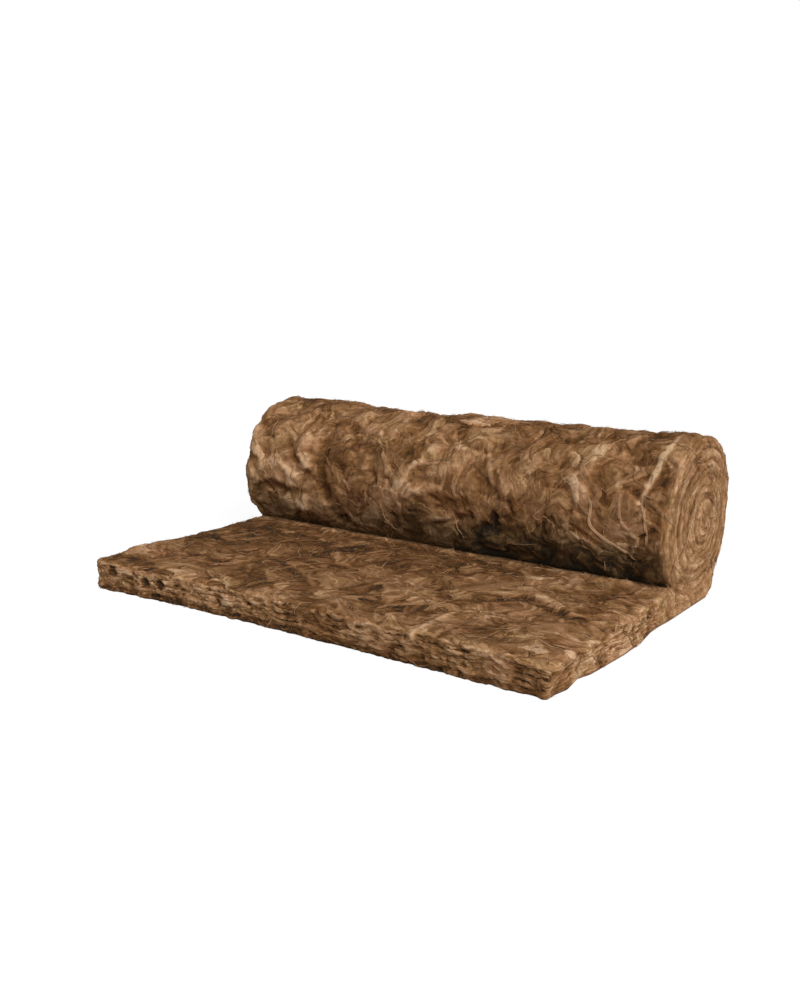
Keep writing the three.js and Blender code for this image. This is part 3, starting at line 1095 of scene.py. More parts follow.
# %% Layers and pits
STRATUM = 0.014  # thickness of the layers the mat splits into
LAMINATION = 0.007  # thickness of the fine laminations in them
LENGTHEN = 5.5  # how much longer than thick a lamination is
WOUND_SPREAD = 0.5  # a wound turn is pressed thin, so its depth counts by this in the pattern
WOUND_SHORTEN = 0.7  # share by which more laminations follow each other on the turns
WAVES = (  # of the laminations: reach, what the roll adds to it, details in a metre, and seed
    (0.014, 0.016, 14.0, 2),
    (0.006, 0.003, 75.0, 12),
)
CUT_LUMPS = 32.0  # in a metre, about
PITS = 60.0
PIT_SHAPE = (0.6, 1.0, 0.0)  # they are longer than high
PITS_SHOW = (0.60, 0.78)  # levels of their noise
SPLITS_SHOW = (0.40, 0.5)  # from the middle of a layer to its border, as shares of it
SPLIT_PATCHES = 17.0  # in a metre
SPLIT_SHAPE = (1.0, 0.3, 0.0)
PATCHES_SHOW = (0.42, 0.58)


def cut_pattern(place, roll, detail):
    """Laminations, lumps and pits of a cut face, at (along the mat, depth) in metres."""
    along, depth, _ = place.parts()
    spot = place.vector(along, depth * (1 - (1 - WOUND_SPREAD) * roll), 0.0)
    bent = spot
    for reach, wound_reach, scale, seed in WAVES:
        bent = bent.bent(reach + wound_reach * roll, scale, 1.0, seed, by=spot)
    drawn = bent * (1 / (LENGTHEN * LAMINATION), 1 / LAMINATION, 0.0)
    drawn = drawn * place.vector(1 + WOUND_SHORTEN * roll, 1.0)
    band = drawn.noise(1.0, detail, 0.7)
    lump = spot.noise(CUT_LUMPS, 2.0, seed=6)
    pit = (bent * PIT_SHAPE).noise(PITS, 2.0, 0.6, seed=7).ramp(*PITS_SHOW)
    stratum = bent.parts()[1] / STRATUM
    split = abs(stratum.maths("FRACT", stratum) - 0.5).ramp(*SPLITS_SHOW)
    split = split * (spot * SPLIT_SHAPE).noise(SPLIT_PATCHES, 1.0, seed=14).ramp(*PATCHES_SHOW)
    return band, lump, pit.highest(split)


print("Laminations are", LAMINATION, "m thick")

# %% [markdown]
# ## Relief by Geometry Nodes
#
# The relief follows a rule over the whole surface, so a node tree makes it: it reads each
# point's places and masks and moves the point along its normal. A bump in the material would
# be quicker, but it would leave the outline of the roll smooth. The sizes of the relief are
# inputs of the tree. The tree also works out the marks, which are too many for a material,
# and stores their tone on the points, where the material picks it up.

# %% Sizes of the relief
RELIEF = {
    "Puff height": 0.005,
    "Tuft height": 0.007,
    "Fold depth": 0.006,
    "Roll drawn in": 0.004,
    "Free run share": 0.5,
    "Layer height": 0.004,
    "Lump height": 0.010,
    "Pit depth": 0.005,
    "Furrow depth": 0.003,
}
print("The relief tree will have the inputs", ", ".join(RELIEF))

# %% Reading and storing values
def attribute(start, name, kind="FLOAT"):
    """A value that was stored on the geometry."""
    return start.node("GeometryNodeInputNamedAttribute", {"data_type": kind}, {"Name": name})


def store(geometry, name, value, kind="FLOAT", domain="POINT"):
    """The geometry with a value stored on it."""
    settings = {"data_type": kind, "domain": domain}
    sockets = {"Geometry": geometry, "Name": name, "Value": value}
    return geometry.node("GeometryNodeStoreNamedAttribute", settings, sockets)


def put(geometry, place, lowest):
    """The geometry with its points at a new place, but none of them lower than this."""
    x, y, z = place.parts()
    sockets = {"Geometry": geometry, "Position": place.vector(x, y, z.highest(lowest))}
    return geometry.node("GeometryNodeSetPosition", sockets=sockets)


shown = [layer.name for layer in wool.data.attributes if not layer.name.startswith(".")]
print("The skin carries", ", ".join(shown))

# %% From a tree to a mesh
def new_tree(name, sizes):
    """An empty Geometry Nodes tree with a number input for each size, and its inputs as wires."""
    tree = bpy.data.node_groups.new(name, "GeometryNodeTree")
    sockets = tree.interface
    sockets.new_socket("Geometry", in_out="OUTPUT", socket_type="NodeSocketGeometry")
    sockets.new_socket("Geometry", in_out="INPUT", socket_type="NodeSocketGeometry")
    for size in sizes:
        sockets.new_socket(size, in_out="INPUT", socket_type="NodeSocketFloat")
    inputs = tree.nodes.new("NodeGroupInput")
    return tree, {socket.name: Wire(tree, socket) for socket in inputs.outputs if socket.name}


def end_tree(geometry, material):
    """Ends a tree as plain geometry with a material."""
    real = geometry.node("GeometryNodeRealizeInstances", sockets={0: geometry})
    done = real.node("GeometryNodeSetMaterial", sockets={"Geometry": real, "Material": material})
    done.node("NodeGroupOutput", sockets={0: done})


def grow(base, tree, sizes):
    """Runs a tree on an object and gives the object the plain mesh that comes out."""
    modifier = base.modifiers.new(tree.name, "NODES")
    modifier.node_group = tree
    for item in tree.interface.items_tree:
        if item.in_out == "INPUT" and item.name in sizes:
            modifier[item.identifier] = sizes[item.name]
    bpy.context.view_layer.update()
    graph = bpy.context.evaluated_depsgraph_get()
    base.data = bpy.data.meshes.new_from_object(base.evaluated_get(graph))
    base.modifiers.remove(modifier)
    base.data.name = base.name
    smooth_and_count(base)


def smooth_and_count(made):
    """Shades a piece smooth and prints how many triangles it has."""
    made.data.shade_smooth()
    count = sum(len(face.vertices) - 2 for face in made.data.polygons)
    print("The", made.name, "piece has", count, "triangles")


print("The trees start from a skin of", len(wool.data.vertices), "points")

# %% The relief tree
RELIEF_DETAIL = 2.0  # octaves of streaks that a mesh of this fineness can show
MIDDLE_TUFT = 0.55  # the height of tufts that leaves the skin where it is
WOUND_PIT_LOSS = 0.6  # share by which pits are less deep on the roll
WOUND_LUMP_LOSS = 0.5


def relief_tree(material):
    """A tree that moves the skin by tufts, laminations and marks."""
    tree, size = new_tree("wool_relief", RELIEF)
    skin_in = size["Geometry"]
    cut, roll, furrow, held = (attribute(skin_in, mask) for mask in MASKS)
    face = attribute(skin_in, "face_place", "FLOAT_VECTOR")
    height, _, _ = wool_pattern(face, RELIEF_DETAIL)
    loose = size["Puff height"] * (puffs(face) - 0.5) + size["Tuft height"] * (height - MIDDLE_TUFT)
    loose = loose - size["Fold depth"] * folds(face)
    loose = loose * (size["Free run share"] + (1 - size["Free run share"]) * roll)
    loose = loose - size["Roll drawn in"] * roll
    rise, tone, locked = marks(face)
    layers = attribute(skin_in, "layer_place", "FLOAT_VECTOR")
    cut = cut_border(cut, face)
    band, lump, pit = cut_pattern(layers, roll, RELIEF_DETAIL)
    torn = size["Layer height"] * (band - 0.5) * (2 - roll)
    torn = torn - size["Pit depth"] * pit * (1 - WOUND_PIT_LOSS * roll)
    torn = torn * (1 - furrow) - size["Furrow depth"] * furrow
    torn = torn + size["Lump height"] * (lump - 0.5) * (1 - WOUND_LUMP_LOSS * roll)
    normal = skin_in.node("GeometryNodeInputNormal")
    move = normal * (loose * (1 - cut) + torn * cut + rise) * (1 - held)
    moved = put(skin_in, skin_in.node("GeometryNodeInputPosition") + move, 0.0)
    marked = store(moved, "mark", tone.vector(tone, locked), "FLOAT_VECTOR")
    end_tree(marked, material)
    return tree


print("The mesh shows", RELIEF_DETAIL, "octaves of streaks")

# %% [markdown]
# ## The tones of the wool
#
# The colours run from near black in the hollows, through brown, to pale tan on the tufts that
# stand out. So the material first works out one number, the level, and a colour ramp turns it
# into a colour. An image texture could do the same, but a rule stays sharp from close by and
# is changed by a single number. On the outer face, the level follows each tuft's own tone, the
# streaks of its fibres and the height of the tufts, and the height paints light on high tufts
# and shade in the hollows. Some stretches differ as a whole, by painted light and shade:
# painted shade darkens the wool low on the roll's front and greys its hue, the roll is paler
# down its front than over its top, and the free run is paler to its right and towards its cut
# edge, and darker near the roll. At the ends of the roll, the edges of the wound layers show.

# %% Painted shade at the crease
SHADE_REACH = (-0.16, -0.05)  # down the roll's front to the crease, where the painted shade begins and is full
SHADE_SHARE = (0.12, 0.16)  # the level that it loses, and what its right half loses besides
SHADE_RIGHT = (-0.5, 0.3)  # across, from none of that to all of it
SHADE_UNEVEN = 0.12  # how ragged the border of the painted shade is
CREASE_REACH = (-0.035, -0.008)  # the same for a darker line of painted shade right in the crease
CREASE_SHARE = 0.12
CREASE_UNEVEN = 0.3  # its border is as ragged as this share of the other's
SHADE_END = (0.008, 0.0)  # past the crease, where the painted shade ends on the free run


def crease_shade(face):
    """Painted shade low on the roll's front, darkest right in the crease."""
    across, along, _ = face.parts()
    uneven = (face.noise(9.0, 2.0, seed=23) - 0.5) * SHADE_UNEVEN
    down = along - CREASE_WALK
    low = (down + uneven).ramp(*SHADE_REACH)
    low = low * (SHADE_SHARE[0] + SHADE_SHARE[1] * across.ramp(*SHADE_RIGHT))
    deep = (down + uneven * CREASE_UNEVEN).ramp(*CREASE_REACH) * CREASE_SHARE
    return (low + deep) * down.ramp(*SHADE_END)


print("The damp wool reaches", -SHADE_REACH[0], "m up from the crease")

# %% Painted light and shade over whole stretches, and rims
# Two places, on the walk or across, in metres, and by how much the level changes between them
# These paint light and shade: the roll darker over its top and paler down its front, and the free
# run paler to its right, on its right shoulder and towards its cut edge, and darker back and left
# near the roll.
FRONT_WALK, FRONT_PALER = (0.76, 0.92), 0.09  # down the roll's front
NEAR_EDGE, EDGE_PALER = (1.50, 1.72), 0.10  # along the free run to its cut edge
RIGHT_HALF, RIGHT_PALER = (0.0, 0.45), 0.17  # to its right side
RIGHT_SLOPE, SLOPE_PALER = (0.53, 0.59), 0.12  # where it slopes down there
BEHIND, BEHIND_LEFT, BEHIND_DARKER = (1.3, 1.0), (0.2, -0.3), 0.06  # back and left to the crease
ROLL_DARKER, RUN_LOWER = 0.06, 0.13  # before these changes
RIM = (0.568, 0.596)  # where an end's rim begins to show and shows in full, across
RIM_RAGGED = 0.03
RIM_SHARE = 0.75
RIM_STREAKS = (140.0, 20.0, 0.0)  # in a metre across and along
RIM_CONTRAST = 1.1
RIM_DARKER = 0.03


def painted_light_and_shade(face, roll):
    """Painted light and shade over whole stretches of the roll and the free run."""
    across, along, _ = face.bent(0.08, 14.0, 2.0, seed=24).parts()
    front = along.ramp(*FRONT_WALK) * FRONT_PALER - ROLL_DARKER
    behind = along.ramp(*BEHIND) * across.ramp(*BEHIND_LEFT) * BEHIND_DARKER
    right = across.ramp(*RIGHT_SLOPE) * SLOPE_PALER + across.ramp(*RIGHT_HALF) * RIGHT_PALER
    run = right + along.ramp(*NEAR_EDGE) * EDGE_PALER - RUN_LOWER - behind
    return run.toward(front, roll)


def end_rim(face, roll):
    """How far the edges of the wound layers show on the rounds of the roll's ends."""
    across, _, _ = face.parts()
    ragged = abs(across) + (face.noise(30.0, 2.0, seed=25) - 0.5) * RIM_RAGGED
    return ragged.ramp(*RIM) * roll * RIM_SHARE


def wound_rim(face):
    """The tone of those edges, which run round the roll."""
    streaks = (face * RIM_STREAKS).noise(1.0, 3.0, 0.65, seed=26)
    return streaks * RIM_CONTRAST - RIM_DARKER


print("The rims show from", RIM[0], "m on either side of the middle")

# %% The level of the outer face
STREAK_DETAIL = 4.0  # octaves of streaks, for the finest fibres
CLOUDS, SPECKLES = 4.0, 90.0  # in a metre
LINES = ((16.0, 30), (24.0, 40))  # thin lines in a metre, about, and their first seed
HEIGHT_SHARE = 0.26  # what the height of the tufts adds to the level, as painted light on high tufts and painted shade low down
TUFT_SHARE = 0.26  # what the tone of each tuft adds
NEAR_TUFT_SHARE = 0.16  # and what it adds besides, near the cut edge
NEAR_WALK = (1.35, 1.75)
STREAK_SHARE = 1.0
WOUND_STREAK_LOSS = 0.15
# puffs are paler and folds darker, as painted light and shade
PUFF_SHARE = 0.08
FOLD_SHARE = 0.15
CLOUD_SHARE = 0.4
LINE_SHARE = 0.2
SPECKLE_SHARE = (0.08, 0.18)  # everywhere, and on the roll besides
LOCK_CALM = 0.6  # how much less of all this a lock shows
MIDDLE_LEVEL = 0.475
RUN_DARKER = 0.05


def outer_level(face, roll, locked):
    """The level of the outer face, and the height, streaks and thin lines that made it."""
    height, tone, streak = wool_pattern(face, STREAK_DETAIL)
    fold, puff, cloud = folds(face), puffs(face), face.noise(CLOUDS, 2.0, seed=13)
    broad_lines, fine_lines = (thin_lines(face, scale, seed) for scale, seed in LINES)
    lines = broad_lines.highest(fine_lines)
    near = face.parts()[1].ramp(*NEAR_WALK)
    # the height, puffs and folds paint light on what stands out and shade in the hollows
    level = (height - 0.6) * HEIGHT_SHARE + (tone - 0.5) * (TUFT_SHARE + NEAR_TUFT_SHARE * near)
    level = level + (streak - 0.5) * (STREAK_SHARE - WOUND_STREAK_LOSS * roll)
    level = level + (puff - 0.6) * PUFF_SHARE - fold * FOLD_SHARE
    level = level + (cloud - 0.5) * CLOUD_SHARE + lines * LINE_SHARE
    level = level * (1 - LOCK_CALM * locked) + MIDDLE_LEVEL
    speckle = face.noise(SPECKLES, 2.0, 0.5, seed=22) - 0.5
    speckle = speckle * (SPECKLE_SHARE[0] + SPECKLE_SHARE[1] * roll)
    return level + (roll - 1) * RUN_DARKER + speckle, height, streak, lines


print("Streaks change the level by up to", STREAK_SHARE / 2, "and tufts by", TUFT_SHARE / 2)

# %% The level of a cut face
CUT_CLOUDS = 7.0  # in a metre
ARCS = (7.0, 22.0, 0.0)  # in a metre along the mat, and down through it
FLECKS = 85.0
FLECK_SHAPE = (1.0, 1.6, 0.0)  # they are longer than high
FLECKS_SHOW = (0.55, 0.7)
FURROW_GAPS = 24.0
GAPS_SHOW = (0.35, 0.6)
LEFT_HALF = (-0.4, -0.9)  # places along the cut edge, from its right end
FOOT_DEPTH = (0.035, 0.065)  # where the painted shade at the foot begins and is full, from the top of the cut edge down
FOOT_RAGGED = 0.03
BAND_SHARE = (1.15, 0.55)  # on the free run, and how much less on the roll
LUMP_SHARE = (0.8, 0.3)
# pits are darker, as painted shade in them
PIT_SHARE = (0.38, 0.26)
LEFT_PIT_SHARE = 0.1  # added on the left half of the cut edge
CUT_CLOUD_SHARE = 0.5
ARC_SHARE = 0.5  # long soft bands that follow the turns
# painted shade in the furrows between the wound turns
FURROW_SHARE = 0.13
FLECK_SHARE = (0.10, 0.14)  # everywhere, and on the left half of the cut edge besides
SIDE_PALER = 0.07
# painted shade at the foot of the cut edge, where it meets the floor
FOOT_PAINTED_SHADE = 0.32
MIDDLE_CUT_LEVEL = 0.54


def cut_level(layers, roll, furrow):
    """The level of a cut face, and its laminations and pits."""
    along, depth, side = layers.parts()
    side = abs(side)
    band, lump, pit = cut_pattern(layers, roll, STREAK_DETAIL)
    cloud = layers.noise(CUT_CLOUDS, 2.0, seed=16)
    arc = (layers * ARCS).noise(1.0, 1.0, seed=17)
    fleck = (layers * FLECK_SHAPE).noise(FLECKS, 2.0, seed=18).ramp(*FLECKS_SHOW)
    left = along.ramp(*LEFT_HALF) * (1 - side)
    # painted shade at the foot of the cut edge
    foot = (depth + (lump - 0.5) * FOOT_RAGGED).ramp(*FOOT_DEPTH) * (1 - side) * (1 - roll)
    gaps = (layers * (1.0, 0.0, 0.0)).noise(FURROW_GAPS, 1.0, seed=19)
    furrow = furrow * gaps.ramp(*GAPS_SHOW)
    level = (band - 0.5) * (BAND_SHARE[0] - BAND_SHARE[1] * roll)
    level = level + (lump - 0.5) * (LUMP_SHARE[0] - LUMP_SHARE[1] * roll) + MIDDLE_CUT_LEVEL
    level = level + (cloud - 0.5) * CUT_CLOUD_SHARE
    # painted shade in the pits and furrows
    level = level - pit * (PIT_SHARE[0] - PIT_SHARE[1] * roll + LEFT_PIT_SHARE * left)
    level = level - furrow * FURROW_SHARE + (arc - 0.5) * ARC_SHARE * roll
    level = level + fleck * (FLECK_SHARE[0] + FLECK_SHARE[1] * left)
    return level + SIDE_PALER * side - foot * foot * FOOT_PAINTED_SHADE, band, pit


print("Cut faces have a middle level of", MIDDLE_CUT_LEVEL)

# %% [markdown]
# ## The wool itself
#
# The two levels meet at the ragged border of the cut faces. One colour ramp goes over both,
# from near black to pale tan, and a little noise in the hue keeps it from looking painted.
# A bump of fractions of a millimetre adds the finest fibres. Then the relief tree runs.

# %% Helpers for materials
DULL = {"Roughness": 0.95, "Specular IOR Level": 0.04}


def emptied(owner):
    """A material or a world with no nodes yet, and a wire to start its tree from."""
    owner.use_nodes = True
    owner.node_tree.nodes.clear()
    return owner, Wire(owner.node_tree)


def coloured(level, stops):
    """The colour for a level, from a ramp with these stops."""
    return level.node("ShaderNodeValToRGB", {"stops": stops}, {0: level})


def surfaced(start, sockets):
    """Ends a material with one plain shader."""
    principled = start.node("ShaderNodeBsdfPrincipled", sockets=sockets)
    start.node("ShaderNodeOutputMaterial", sockets={"Surface": principled})


def shader_attribute(start, name):
    return start.node("ShaderNodeAttribute", {"attribute_name": name})


print("Wool has a roughness of", DULL["Roughness"])

# %% Wool material
DARK, BROWN, MIDDLE, TAN, PALE = (
    (0.038, 0.022, 0.012),
    (0.124, 0.053, 0.017),
    (0.240, 0.119, 0.050),
    (0.390, 0.215, 0.105),
    (0.600, 0.390, 0.230),
)
WOOL_STOPS = ((0.08, DARK), (0.30, BROWN), (0.5, MIDDLE), (0.69, TAN), (0.92, PALE))
TINT = 0.16  # how far the hue wanders
SHADE_HUE = (-0.3, 0.9, 2.0)  # painted shade is greyer in hue
HUE_PATCHES = {"Scale": 16.0, "Detail": 2.0}
BUMP_STRENGTH = 0.65
FIBRE_BUMP, LAYER_BUMP = 0.005, 0.005  # heights in metres
TUFT_BUMP, LINE_BUMP, PIT_BUMP = 0.002, 0.002, 0.002
WOUND_BUMP_LOSS = 0.002


def wool_material():
    material, start = emptied(bpy.data.materials.new("wool"))
    face = shader_attribute(start, "face_place")["Vector"]
    layers = shader_attribute(start, "layer_place")["Vector"]
    cut, furrow, roll = (shader_attribute(start, mask)["Fac"] for mask in ("cut", "furrow", "roll"))
    # the marks' tone, which holds painted shade in sunken marks, folds and holes
    mark_tone, locked, _ = shader_attribute(start, "mark")["Vector"].parts()
    level, height, streak, lines = outer_level(face, roll, locked)
    rim = end_rim(face, roll)
    # painted shade low on the roll's front and in the crease, which also greys the hue
    shaded = crease_shade(face) * (1 - cut) * (1 - rim)
    level = (level + painted_light_and_shade(face, roll)).toward(wound_rim(face), rim) - shaded
    torn, band, pit = cut_level(layers, roll, furrow)
    level = level.toward(torn, cut_border(cut, face)) + mark_tone
    hues = face.node("ShaderNodeTexNoise", {"noise_dimensions": "3D"}, HUE_PATCHES)
    hue = (hues["Color"] - 0.5) * TINT + shaded * SHADE_HUE + 1
    rough = (streak * FIBRE_BUMP + height * TUFT_BUMP + lines * LINE_BUMP) * (1 - cut)
    rough = rough + (band * (LAYER_BUMP - WOUND_BUMP_LOSS * roll) - pit * PIT_BUMP) * cut
    grain = {"Height": rough, "Distance": 1.0, "Strength": BUMP_STRENGTH}
    normal = rough.node("ShaderNodeBump", sockets=grain)
    surfaced(start, {"Base Color": coloured(level, WOOL_STOPS) * hue, "Normal": normal, **DULL})
    return material


wool_look = wool_material()
print("The wool material has", len(wool_look.node_tree.nodes), "nodes")

# %% The relief grows
grow(wool, relief_tree(wool_look), RELIEF)

# %% [markdown]
# ## Wisps and fuzz
#
# Two more node trees grow loose fibres on the finished skin. Wisps are pale hair-like strands
# that lie on the wool in soft curves. Fuzz is short and stands up a little, so no outline is
# smooth. Hair curves could do this, too, but thin tubes are plain meshes, and any program can
# show those. Both start as straight lines, scattered over the open faces. Noise bends them,
# and each of their points then goes to the nearest point of the skin and a little out of it.
# Their flat map holds a fibre's tone across and the place along it up, so fibres of one tone
# share one strip of the map.

# %% Sizes of the fibres
WISPS = {
    "Fibres per square metre": 330.0,
    "Shortest": 0.02,
    "Longest": 0.11,
    "Half thickness": 0.0010,
    "Curl": 0.09,
    "Lift": 0.0006,
    "Rise": 0.003,
    "Palest": 0.9,
}
FUZZ = {
    "Fibres per square metre": 4600.0,
    "Shortest": 0.006,
    "Longest": 0.022,
    "Half thickness": 0.00035,
    "Curl": 0.03,
    "Lift": 0.0002,
    "Rise": 0.005,
    "Palest": 0.6,
}

ROOTS = {"wisps": 10, "fuzz": 20}  # the first seed of each
POINTS = {"wisps": 16, "fuzz": 4}  # on each fibre
print("Wisps are up to", WISPS["Longest"], "m long, and fuzz up to", FUZZ["Longest"], "m")

# %% Straight lines on the skin
UNDERSIDE = -0.4  # faces that look down more than this carry no fibres


def scattered_lines(skin_in, normal, size, steps, seed):
    """Straight lines of all lengths, each with a tone, scattered over the open faces."""
    sockets = {
        "Mesh": skin_in,
        "Selection": normal.parts()[2].above(UNDERSIDE),
        "Density": size["Fibres per square metre"],
        "Seed": seed,
    }
    roots = skin_in.node("GeometryNodeDistributePointsOnFaces", sockets=sockets)

    def random(sockets):
        return roots.node("FunctionNodeRandomValue", {"data_type": "FLOAT"}, sockets)

    spin = random({2: -math.pi, 3: math.pi})  # the lowest and the highest
    tone, long = random({"Seed": seed + 2}), random({"Seed": seed + 3})
    length = size["Shortest"] + (size["Longest"] - size["Shortest"]) * long * long
    toned = store(roots, "tone", tone * size["Palest"])
    ends = {"Start": (-0.5, 0, 0), "End": (0.5, 0, 0)}
    line = roots.node("GeometryNodeCurvePrimitiveLine", sockets=ends)
    line = line.node("GeometryNodeResampleCurve", sockets={"Curve": line, "Count": steps})
    facing = roots.node(
        "FunctionNodeRotateRotation",
        {"rotation_space": "LOCAL"},
        {0: roots["Rotation"], 1: spin.vector(0.0, 0.0, spin)},
    )
    sockets = {"Points": toned, "Instance": line, "Rotation": facing, "Scale": length}
    laid = toned.node("GeometryNodeInstanceOnPoints", sockets=sockets)
    return laid.node("GeometryNodeRealizeInstances", sockets={0: laid})


print("Fibres grow on faces whose normal points higher than", UNDERSIDE)

# %% Bent down to the skin
CURLS = {"Scale": 14.0, "Detail": 2.5}  # per metre
LOWEST_FIBRE = 0.0005  # above the floor


def on_the_skin(lines, skin_in, normal, size):
    """The lines bent by noise and laid down on the skin, and the share along each."""
    along = lines.node("GeometryNodeSplineParameter")
    place = lines.node("GeometryNodeInputPosition")
    curls = {"Vector": place, **CURLS}
    noise = place.node("ShaderNodeTexNoise", {"noise_dimensions": "3D"}, curls)
    bent = place + (noise["Color"] - 0.5) * size["Curl"]
    sockets = {0: skin_in, "Sample Position": bent}
    nearest = bent.node("GeometryNodeProximity", {"target_element": "FACES"}, sockets)
    outward = bent.node(
        "GeometryNodeSampleNearestSurface",
        {"data_type": "FLOAT_VECTOR"},
        {"Mesh": skin_in, "Value": normal, "Sample Position": bent},
    )
    rise = size["Lift"] + size["Rise"] * along * along
    laid = put(lines, nearest["Position"] + outward * rise, LOWEST_FIBRE)
    return store(laid, "along", along), along


print("No fibre lies lower than", LOWEST_FIBRE, "m")

# %% Tubes round the lines
FIBRE_SIDES = 3
FIBRE_TAPER = 0.85  # share by which a fibre is thinner at its ends
FIBRE_STOPS = ((0.0, BROWN), (0.35, MIDDLE), (0.7, TAN), (1.0, PALE))


def fibre_tree(name, sizes, material):
    """A tree that grows fibres on the skin that it is given."""
    tree, size = new_tree(name, sizes)
    skin_in = size["Geometry"]
    normal = skin_in.node("GeometryNodeInputNormal")
    lines = scattered_lines(skin_in, normal, size, POINTS[name], ROOTS[name])
    laid, along = on_the_skin(lines, skin_in, normal, size)
    circle = {"Resolution": FIBRE_SIDES, "Radius": 1.0}
    ring = laid.node("GeometryNodeCurvePrimitiveCircle", sockets=circle)
    thickness = size["Half thickness"] * (1 - abs(along * 2 - 1) * FIBRE_TAPER)
    sockets = {"Curve": laid, "Profile Curve": ring, "Scale": thickness, "Fill Caps": True}
    tubes = laid.node("GeometryNodeCurveToMesh", sockets=sockets)
    flat = tubes.vector(attribute(tubes, "tone"), attribute(tubes, "along"), 0.0)
    end_tree(store(tubes, "OFBake", flat, "FLOAT2", "CORNER"), material)
    return tree


def fibre_material():
    material, start = emptied(bpy.data.materials.new("fibre"))
    tone = start.node("ShaderNodeUVMap", {"uv_map": "OFBake"}).parts()[0]
    surfaced(start, {"Base Color": coloured(tone, FIBRE_STOPS), "Roughness": 0.9})
    return material


def add_fibres(name, sizes):
    made = add_object(name, wool.data.copy())
    grow(made, fibre_tree(name, sizes, fibre_look), sizes)
    return made


fibre_look = fibre_material()
wisps = add_fibres("wisps", WISPS)
fuzz = add_fibres("fuzz", FUZZ)

# %% [markdown]
# ## Three loose strands
#
# Near the right end of the roll a few bundles of fibres lie on the wool in plain view: one
# curls down the front, one ends in a hook, and one trails from the pale lock. Each is a few
# thin tubes that sway across each other. A curve with a round bevel could do it, too, but
# tubes built ring by ring can thin out and carry a flat map of their own. Their line starts
# as places on the outer face, is smoothed, and is then set on the finished skin, so it
# follows every lump.

# %% The three strands
CURLING_STRAND = (
    (0.409, 0.976), (0.430, 0.992), (0.429, 1.016), (0.425, 1.037), (0.435, 1.057),
    (0.455, 1.072), (0.476, 1.082), (0.500, 1.097), (0.517, 1.107), (0.531, 1.126),
)
LOCK_TAIL = (
    (0.534, 0.962), (0.539, 0.980), (0.547, 0.996), (0.551, 1.010), (0.553, 1.030), (0.553, 1.050),
    (0.556, 1.075),
)
STRANDS = (  # places that it passes, and the half width and tone of its tubes
    (CURLING_STRAND, 0.0014, 0.75),
    (HOOKED_STRAND, 0.0014, 0.65),
    (LOCK_TAIL, 0.0012, 0.75),
)
STRAND_STEPS = 6  # points from one place to the next


def above_places(places):
    """The corners of the skin that are nearest to these places of the outer face."""
    corners = len(wool.data.loops)
    face_places, owners = np.empty(3 * corners, np.float32), np.empty(corners, np.int32)
    wool.data.attributes["face_place"].data.foreach_get("vector", face_places)
    wool.data.loops.foreach_get("vertex_index", owners)
    flat = face_places.reshape(-1, 3)[:, :2]
    nearest = [owners[np.argmin(((flat - place) ** 2).sum(axis=1))] for place in places]
    return np.array([wool.data.vertices[index].co for index in nearest])


def strand_line(places):
    """Points of a smooth line over the skin, and which way the skin faces there."""
    corners = above_places(places)
    steps = np.linspace(0, len(corners) - 1, STRAND_STEPS * (len(corners) - 1) + 1)
    line = np.stack([np.interp(steps, range(len(corners)), axis) for axis in corners.T])
    padded = np.pad(line, ((0, 0), (STRAND_STEPS, STRAND_STEPS)), mode="edge")
    weights = np.hanning(2 * STRAND_STEPS + 3)[1:-1]  # a bell over the points on either side
    line = np.stack([np.convolve(axis, weights / weights.sum(), "valid") for axis in padded])
    hits = [wool.closest_point_on_mesh(Vector(point)) for point in line.T]
    return [(place, facing) for _, place, facing, _ in hits]


strand_lines = [strand_line(places) for places, _, _ in STRANDS]
print("The strands have", *(len(line) for line in strand_lines), "points along them")

# %% Tubes round a line
TUBE_SIDES = 5
TUBE_TAPER = 0.8  # share by which a tube is thinner at its ends
TUBE_LIFT = 0.5  # how far its middle lies above the skin, in half widths
SWAY = 0.0022  # how far a tube strays to either side
SWAYS = 9.0  # in a strand's length, in radians


def tube_points(line, half_width, phase):
    """Rings of points round a line that sways, smaller towards both of its ends."""
    last = len(line) - 1
    for step, (place, facing) in enumerate(line):
        forward = (line[min(step + 1, last)][0] - line[max(step - 1, 0)][0]).normalized()
        aside = forward.cross(facing).normalized()
        centre = place + aside * (SWAY * math.sin(SWAYS * step / last + phase))
        half = half_width * (1 - TUBE_TAPER * abs(2 * step / last - 1) ** 3)
        for turn in np.arange(TUBE_SIDES) * math.tau / TUBE_SIDES:
            out = aside * math.cos(turn) + facing * (math.sin(turn) + TUBE_LIFT)
            yield centre + out * half


def tube_faces(first, rings):
    """The sides and the two ends of a tube whose points are counted from the first."""
    ends = [np.arange(TUBE_SIDES) + first + ring * TUBE_SIDES for ring in range(rings)]
    for low, high in zip(ends, ends[1:]):
        next_low, next_high = np.roll(low, -1), np.roll(high, -1)
        yield from np.stack([low, next_low, next_high, high], -1).tolist()
    yield ends[0][::-1].tolist()
    yield ends[-1].tolist()


print("A tube strays by up to", SWAY, "m to either side")

# %% The strands
TUBES_PER_STRAND = 3
SWAY_STEP = 0.7  # from one tube to the next, in radians
TONE_STEP = 0.03  # from one tube to the next, for a few of them
TONES = 4


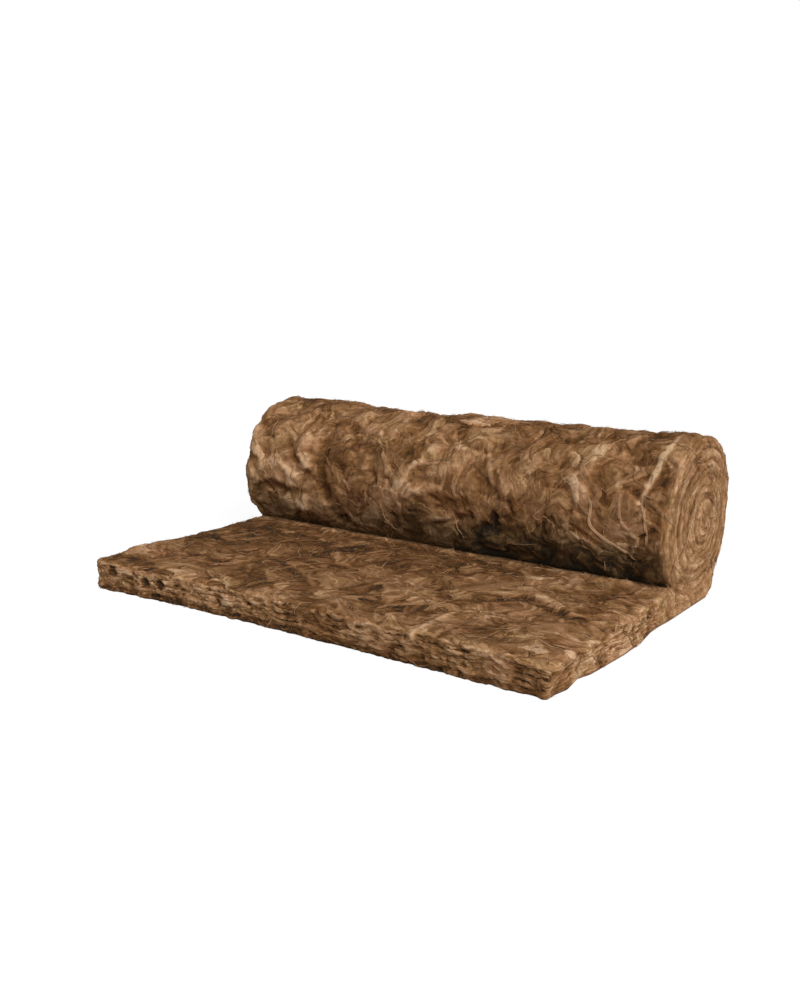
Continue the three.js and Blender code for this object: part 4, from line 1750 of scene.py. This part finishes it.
def add_strands():
    points, faces, flat = [], [], []
    tubes = list(zip(strand_lines, STRANDS)) * TUBES_PER_STRAND
    for number, (line, (_, half_width, tone)) in enumerate(tubes):
        faces += tube_faces(len(points), len(line))
        points += tube_points(line, half_width, SWAY_STEP * number)
        shade = tone + TONE_STEP * (number % TONES)
        along = np.linspace(0, 1, len(line)).repeat(TUBE_SIDES)
        flat += [(shade, share) for share in along]
    mesh = bpy.data.meshes.new("strands")
    mesh.from_pydata([tuple(point) for point in points], [], faces)
    layer = mesh.uv_layers.new(name="OFBake")
    for corner in mesh.loops:
        layer.data[corner.index].uv = flat[corner.vertex_index]
    mesh.materials.append(fibre_look)
    return add_object("strands", mesh)


strands_laid = add_strands()
smooth_and_count(strands_laid)

# %% [markdown]
# ## Light and floor
#
# A white studio: soft light from above and the right, and a floor that shows white with a
# faint shadow under the roll. The sky and the floor look white to the camera, but give less
# light than they show, so the wool keeps its depth.

# %% Light
SKY = 0.42  # strength of the light from all around
KEY = 3.0
KEY_FROM = Vector((0.85, -0.42, 0.6))
KEY_SPREAD = 28  # degrees, for soft shadows
WHITE = (1, 1, 1, 1)


def seen_directly(start):
    """1 for what the camera, a gloss or a glass looks at, and 0 for light that falls on things."""
    path = start.node("ShaderNodeLightPath")
    seen = path["Is Camera Ray"].highest(path["Is Glossy Ray"])
    return seen.highest(path["Is Transmission Ray"])


world, air = emptied(bpy.data.worlds.new("studio"))
bpy.context.scene.world = world
strength = SKY + (1 - SKY) * seen_directly(air)
sky = air.node("ShaderNodeBackground", sockets={"Color": WHITE, "Strength": strength})
air.node("ShaderNodeOutputWorld", sockets={"Surface": sky})

key = bpy.data.lights.new("key", "SUN")
key.energy = KEY
key.angle = math.radians(KEY_SPREAD)
key_object = add_object("key", key)
key_object.rotation_euler = KEY_FROM.to_track_quat("Z", "Y").to_euler()
print("The key light has a strength of", KEY)

# %% Floor
FLOOR_SHADE = (0.35, 0.55)  # for light that falls on things, and what is added where it is seen
FLOOR_GLOW = 0.85  # share of its own light where it is seen
GLOW_STRENGTH = 1.08
FLOOR_CORNERS = [(-40, -40, 0), (40, -40, 0), (40, 40, 0), (-40, 40, 0)]

floor_look, ground = emptied(bpy.data.materials.new("floor"))
seen = seen_directly(ground)
shade = FLOOR_SHADE[0] + FLOOR_SHADE[1] * seen
diffuse = ground.node("ShaderNodeBsdfDiffuse", sockets={"Color": shade.vector(shade, shade, shade)})
glow = ground.node("ShaderNodeEmission", sockets={"Color": WHITE, "Strength": GLOW_STRENGTH})
mixed = ground.node("ShaderNodeMixShader", sockets={0: seen * FLOOR_GLOW, 1: diffuse, 2: glow})
ground.node("ShaderNodeOutputMaterial", sockets={"Surface": mixed})
sheet = bpy.data.meshes.new("floor")
sheet.from_pydata(FLOOR_CORNERS, [], [(0, 1, 2, 3)])
floor = add_object("floor", sheet)
sheet.materials.append(floor_look)
bpy.context.scene.view_settings.view_transform = "Standard"
print("The floor reaches", FLOOR_CORNERS[2][0], "m each way")

# %% [markdown]
# ## Into the frame
#
# The wool rides on the root of the frame and takes the place of the plain mat.

for piece in (wool, wisps, fuzz, strands_laid):
    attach(piece, "root")
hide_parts("wool_mat")
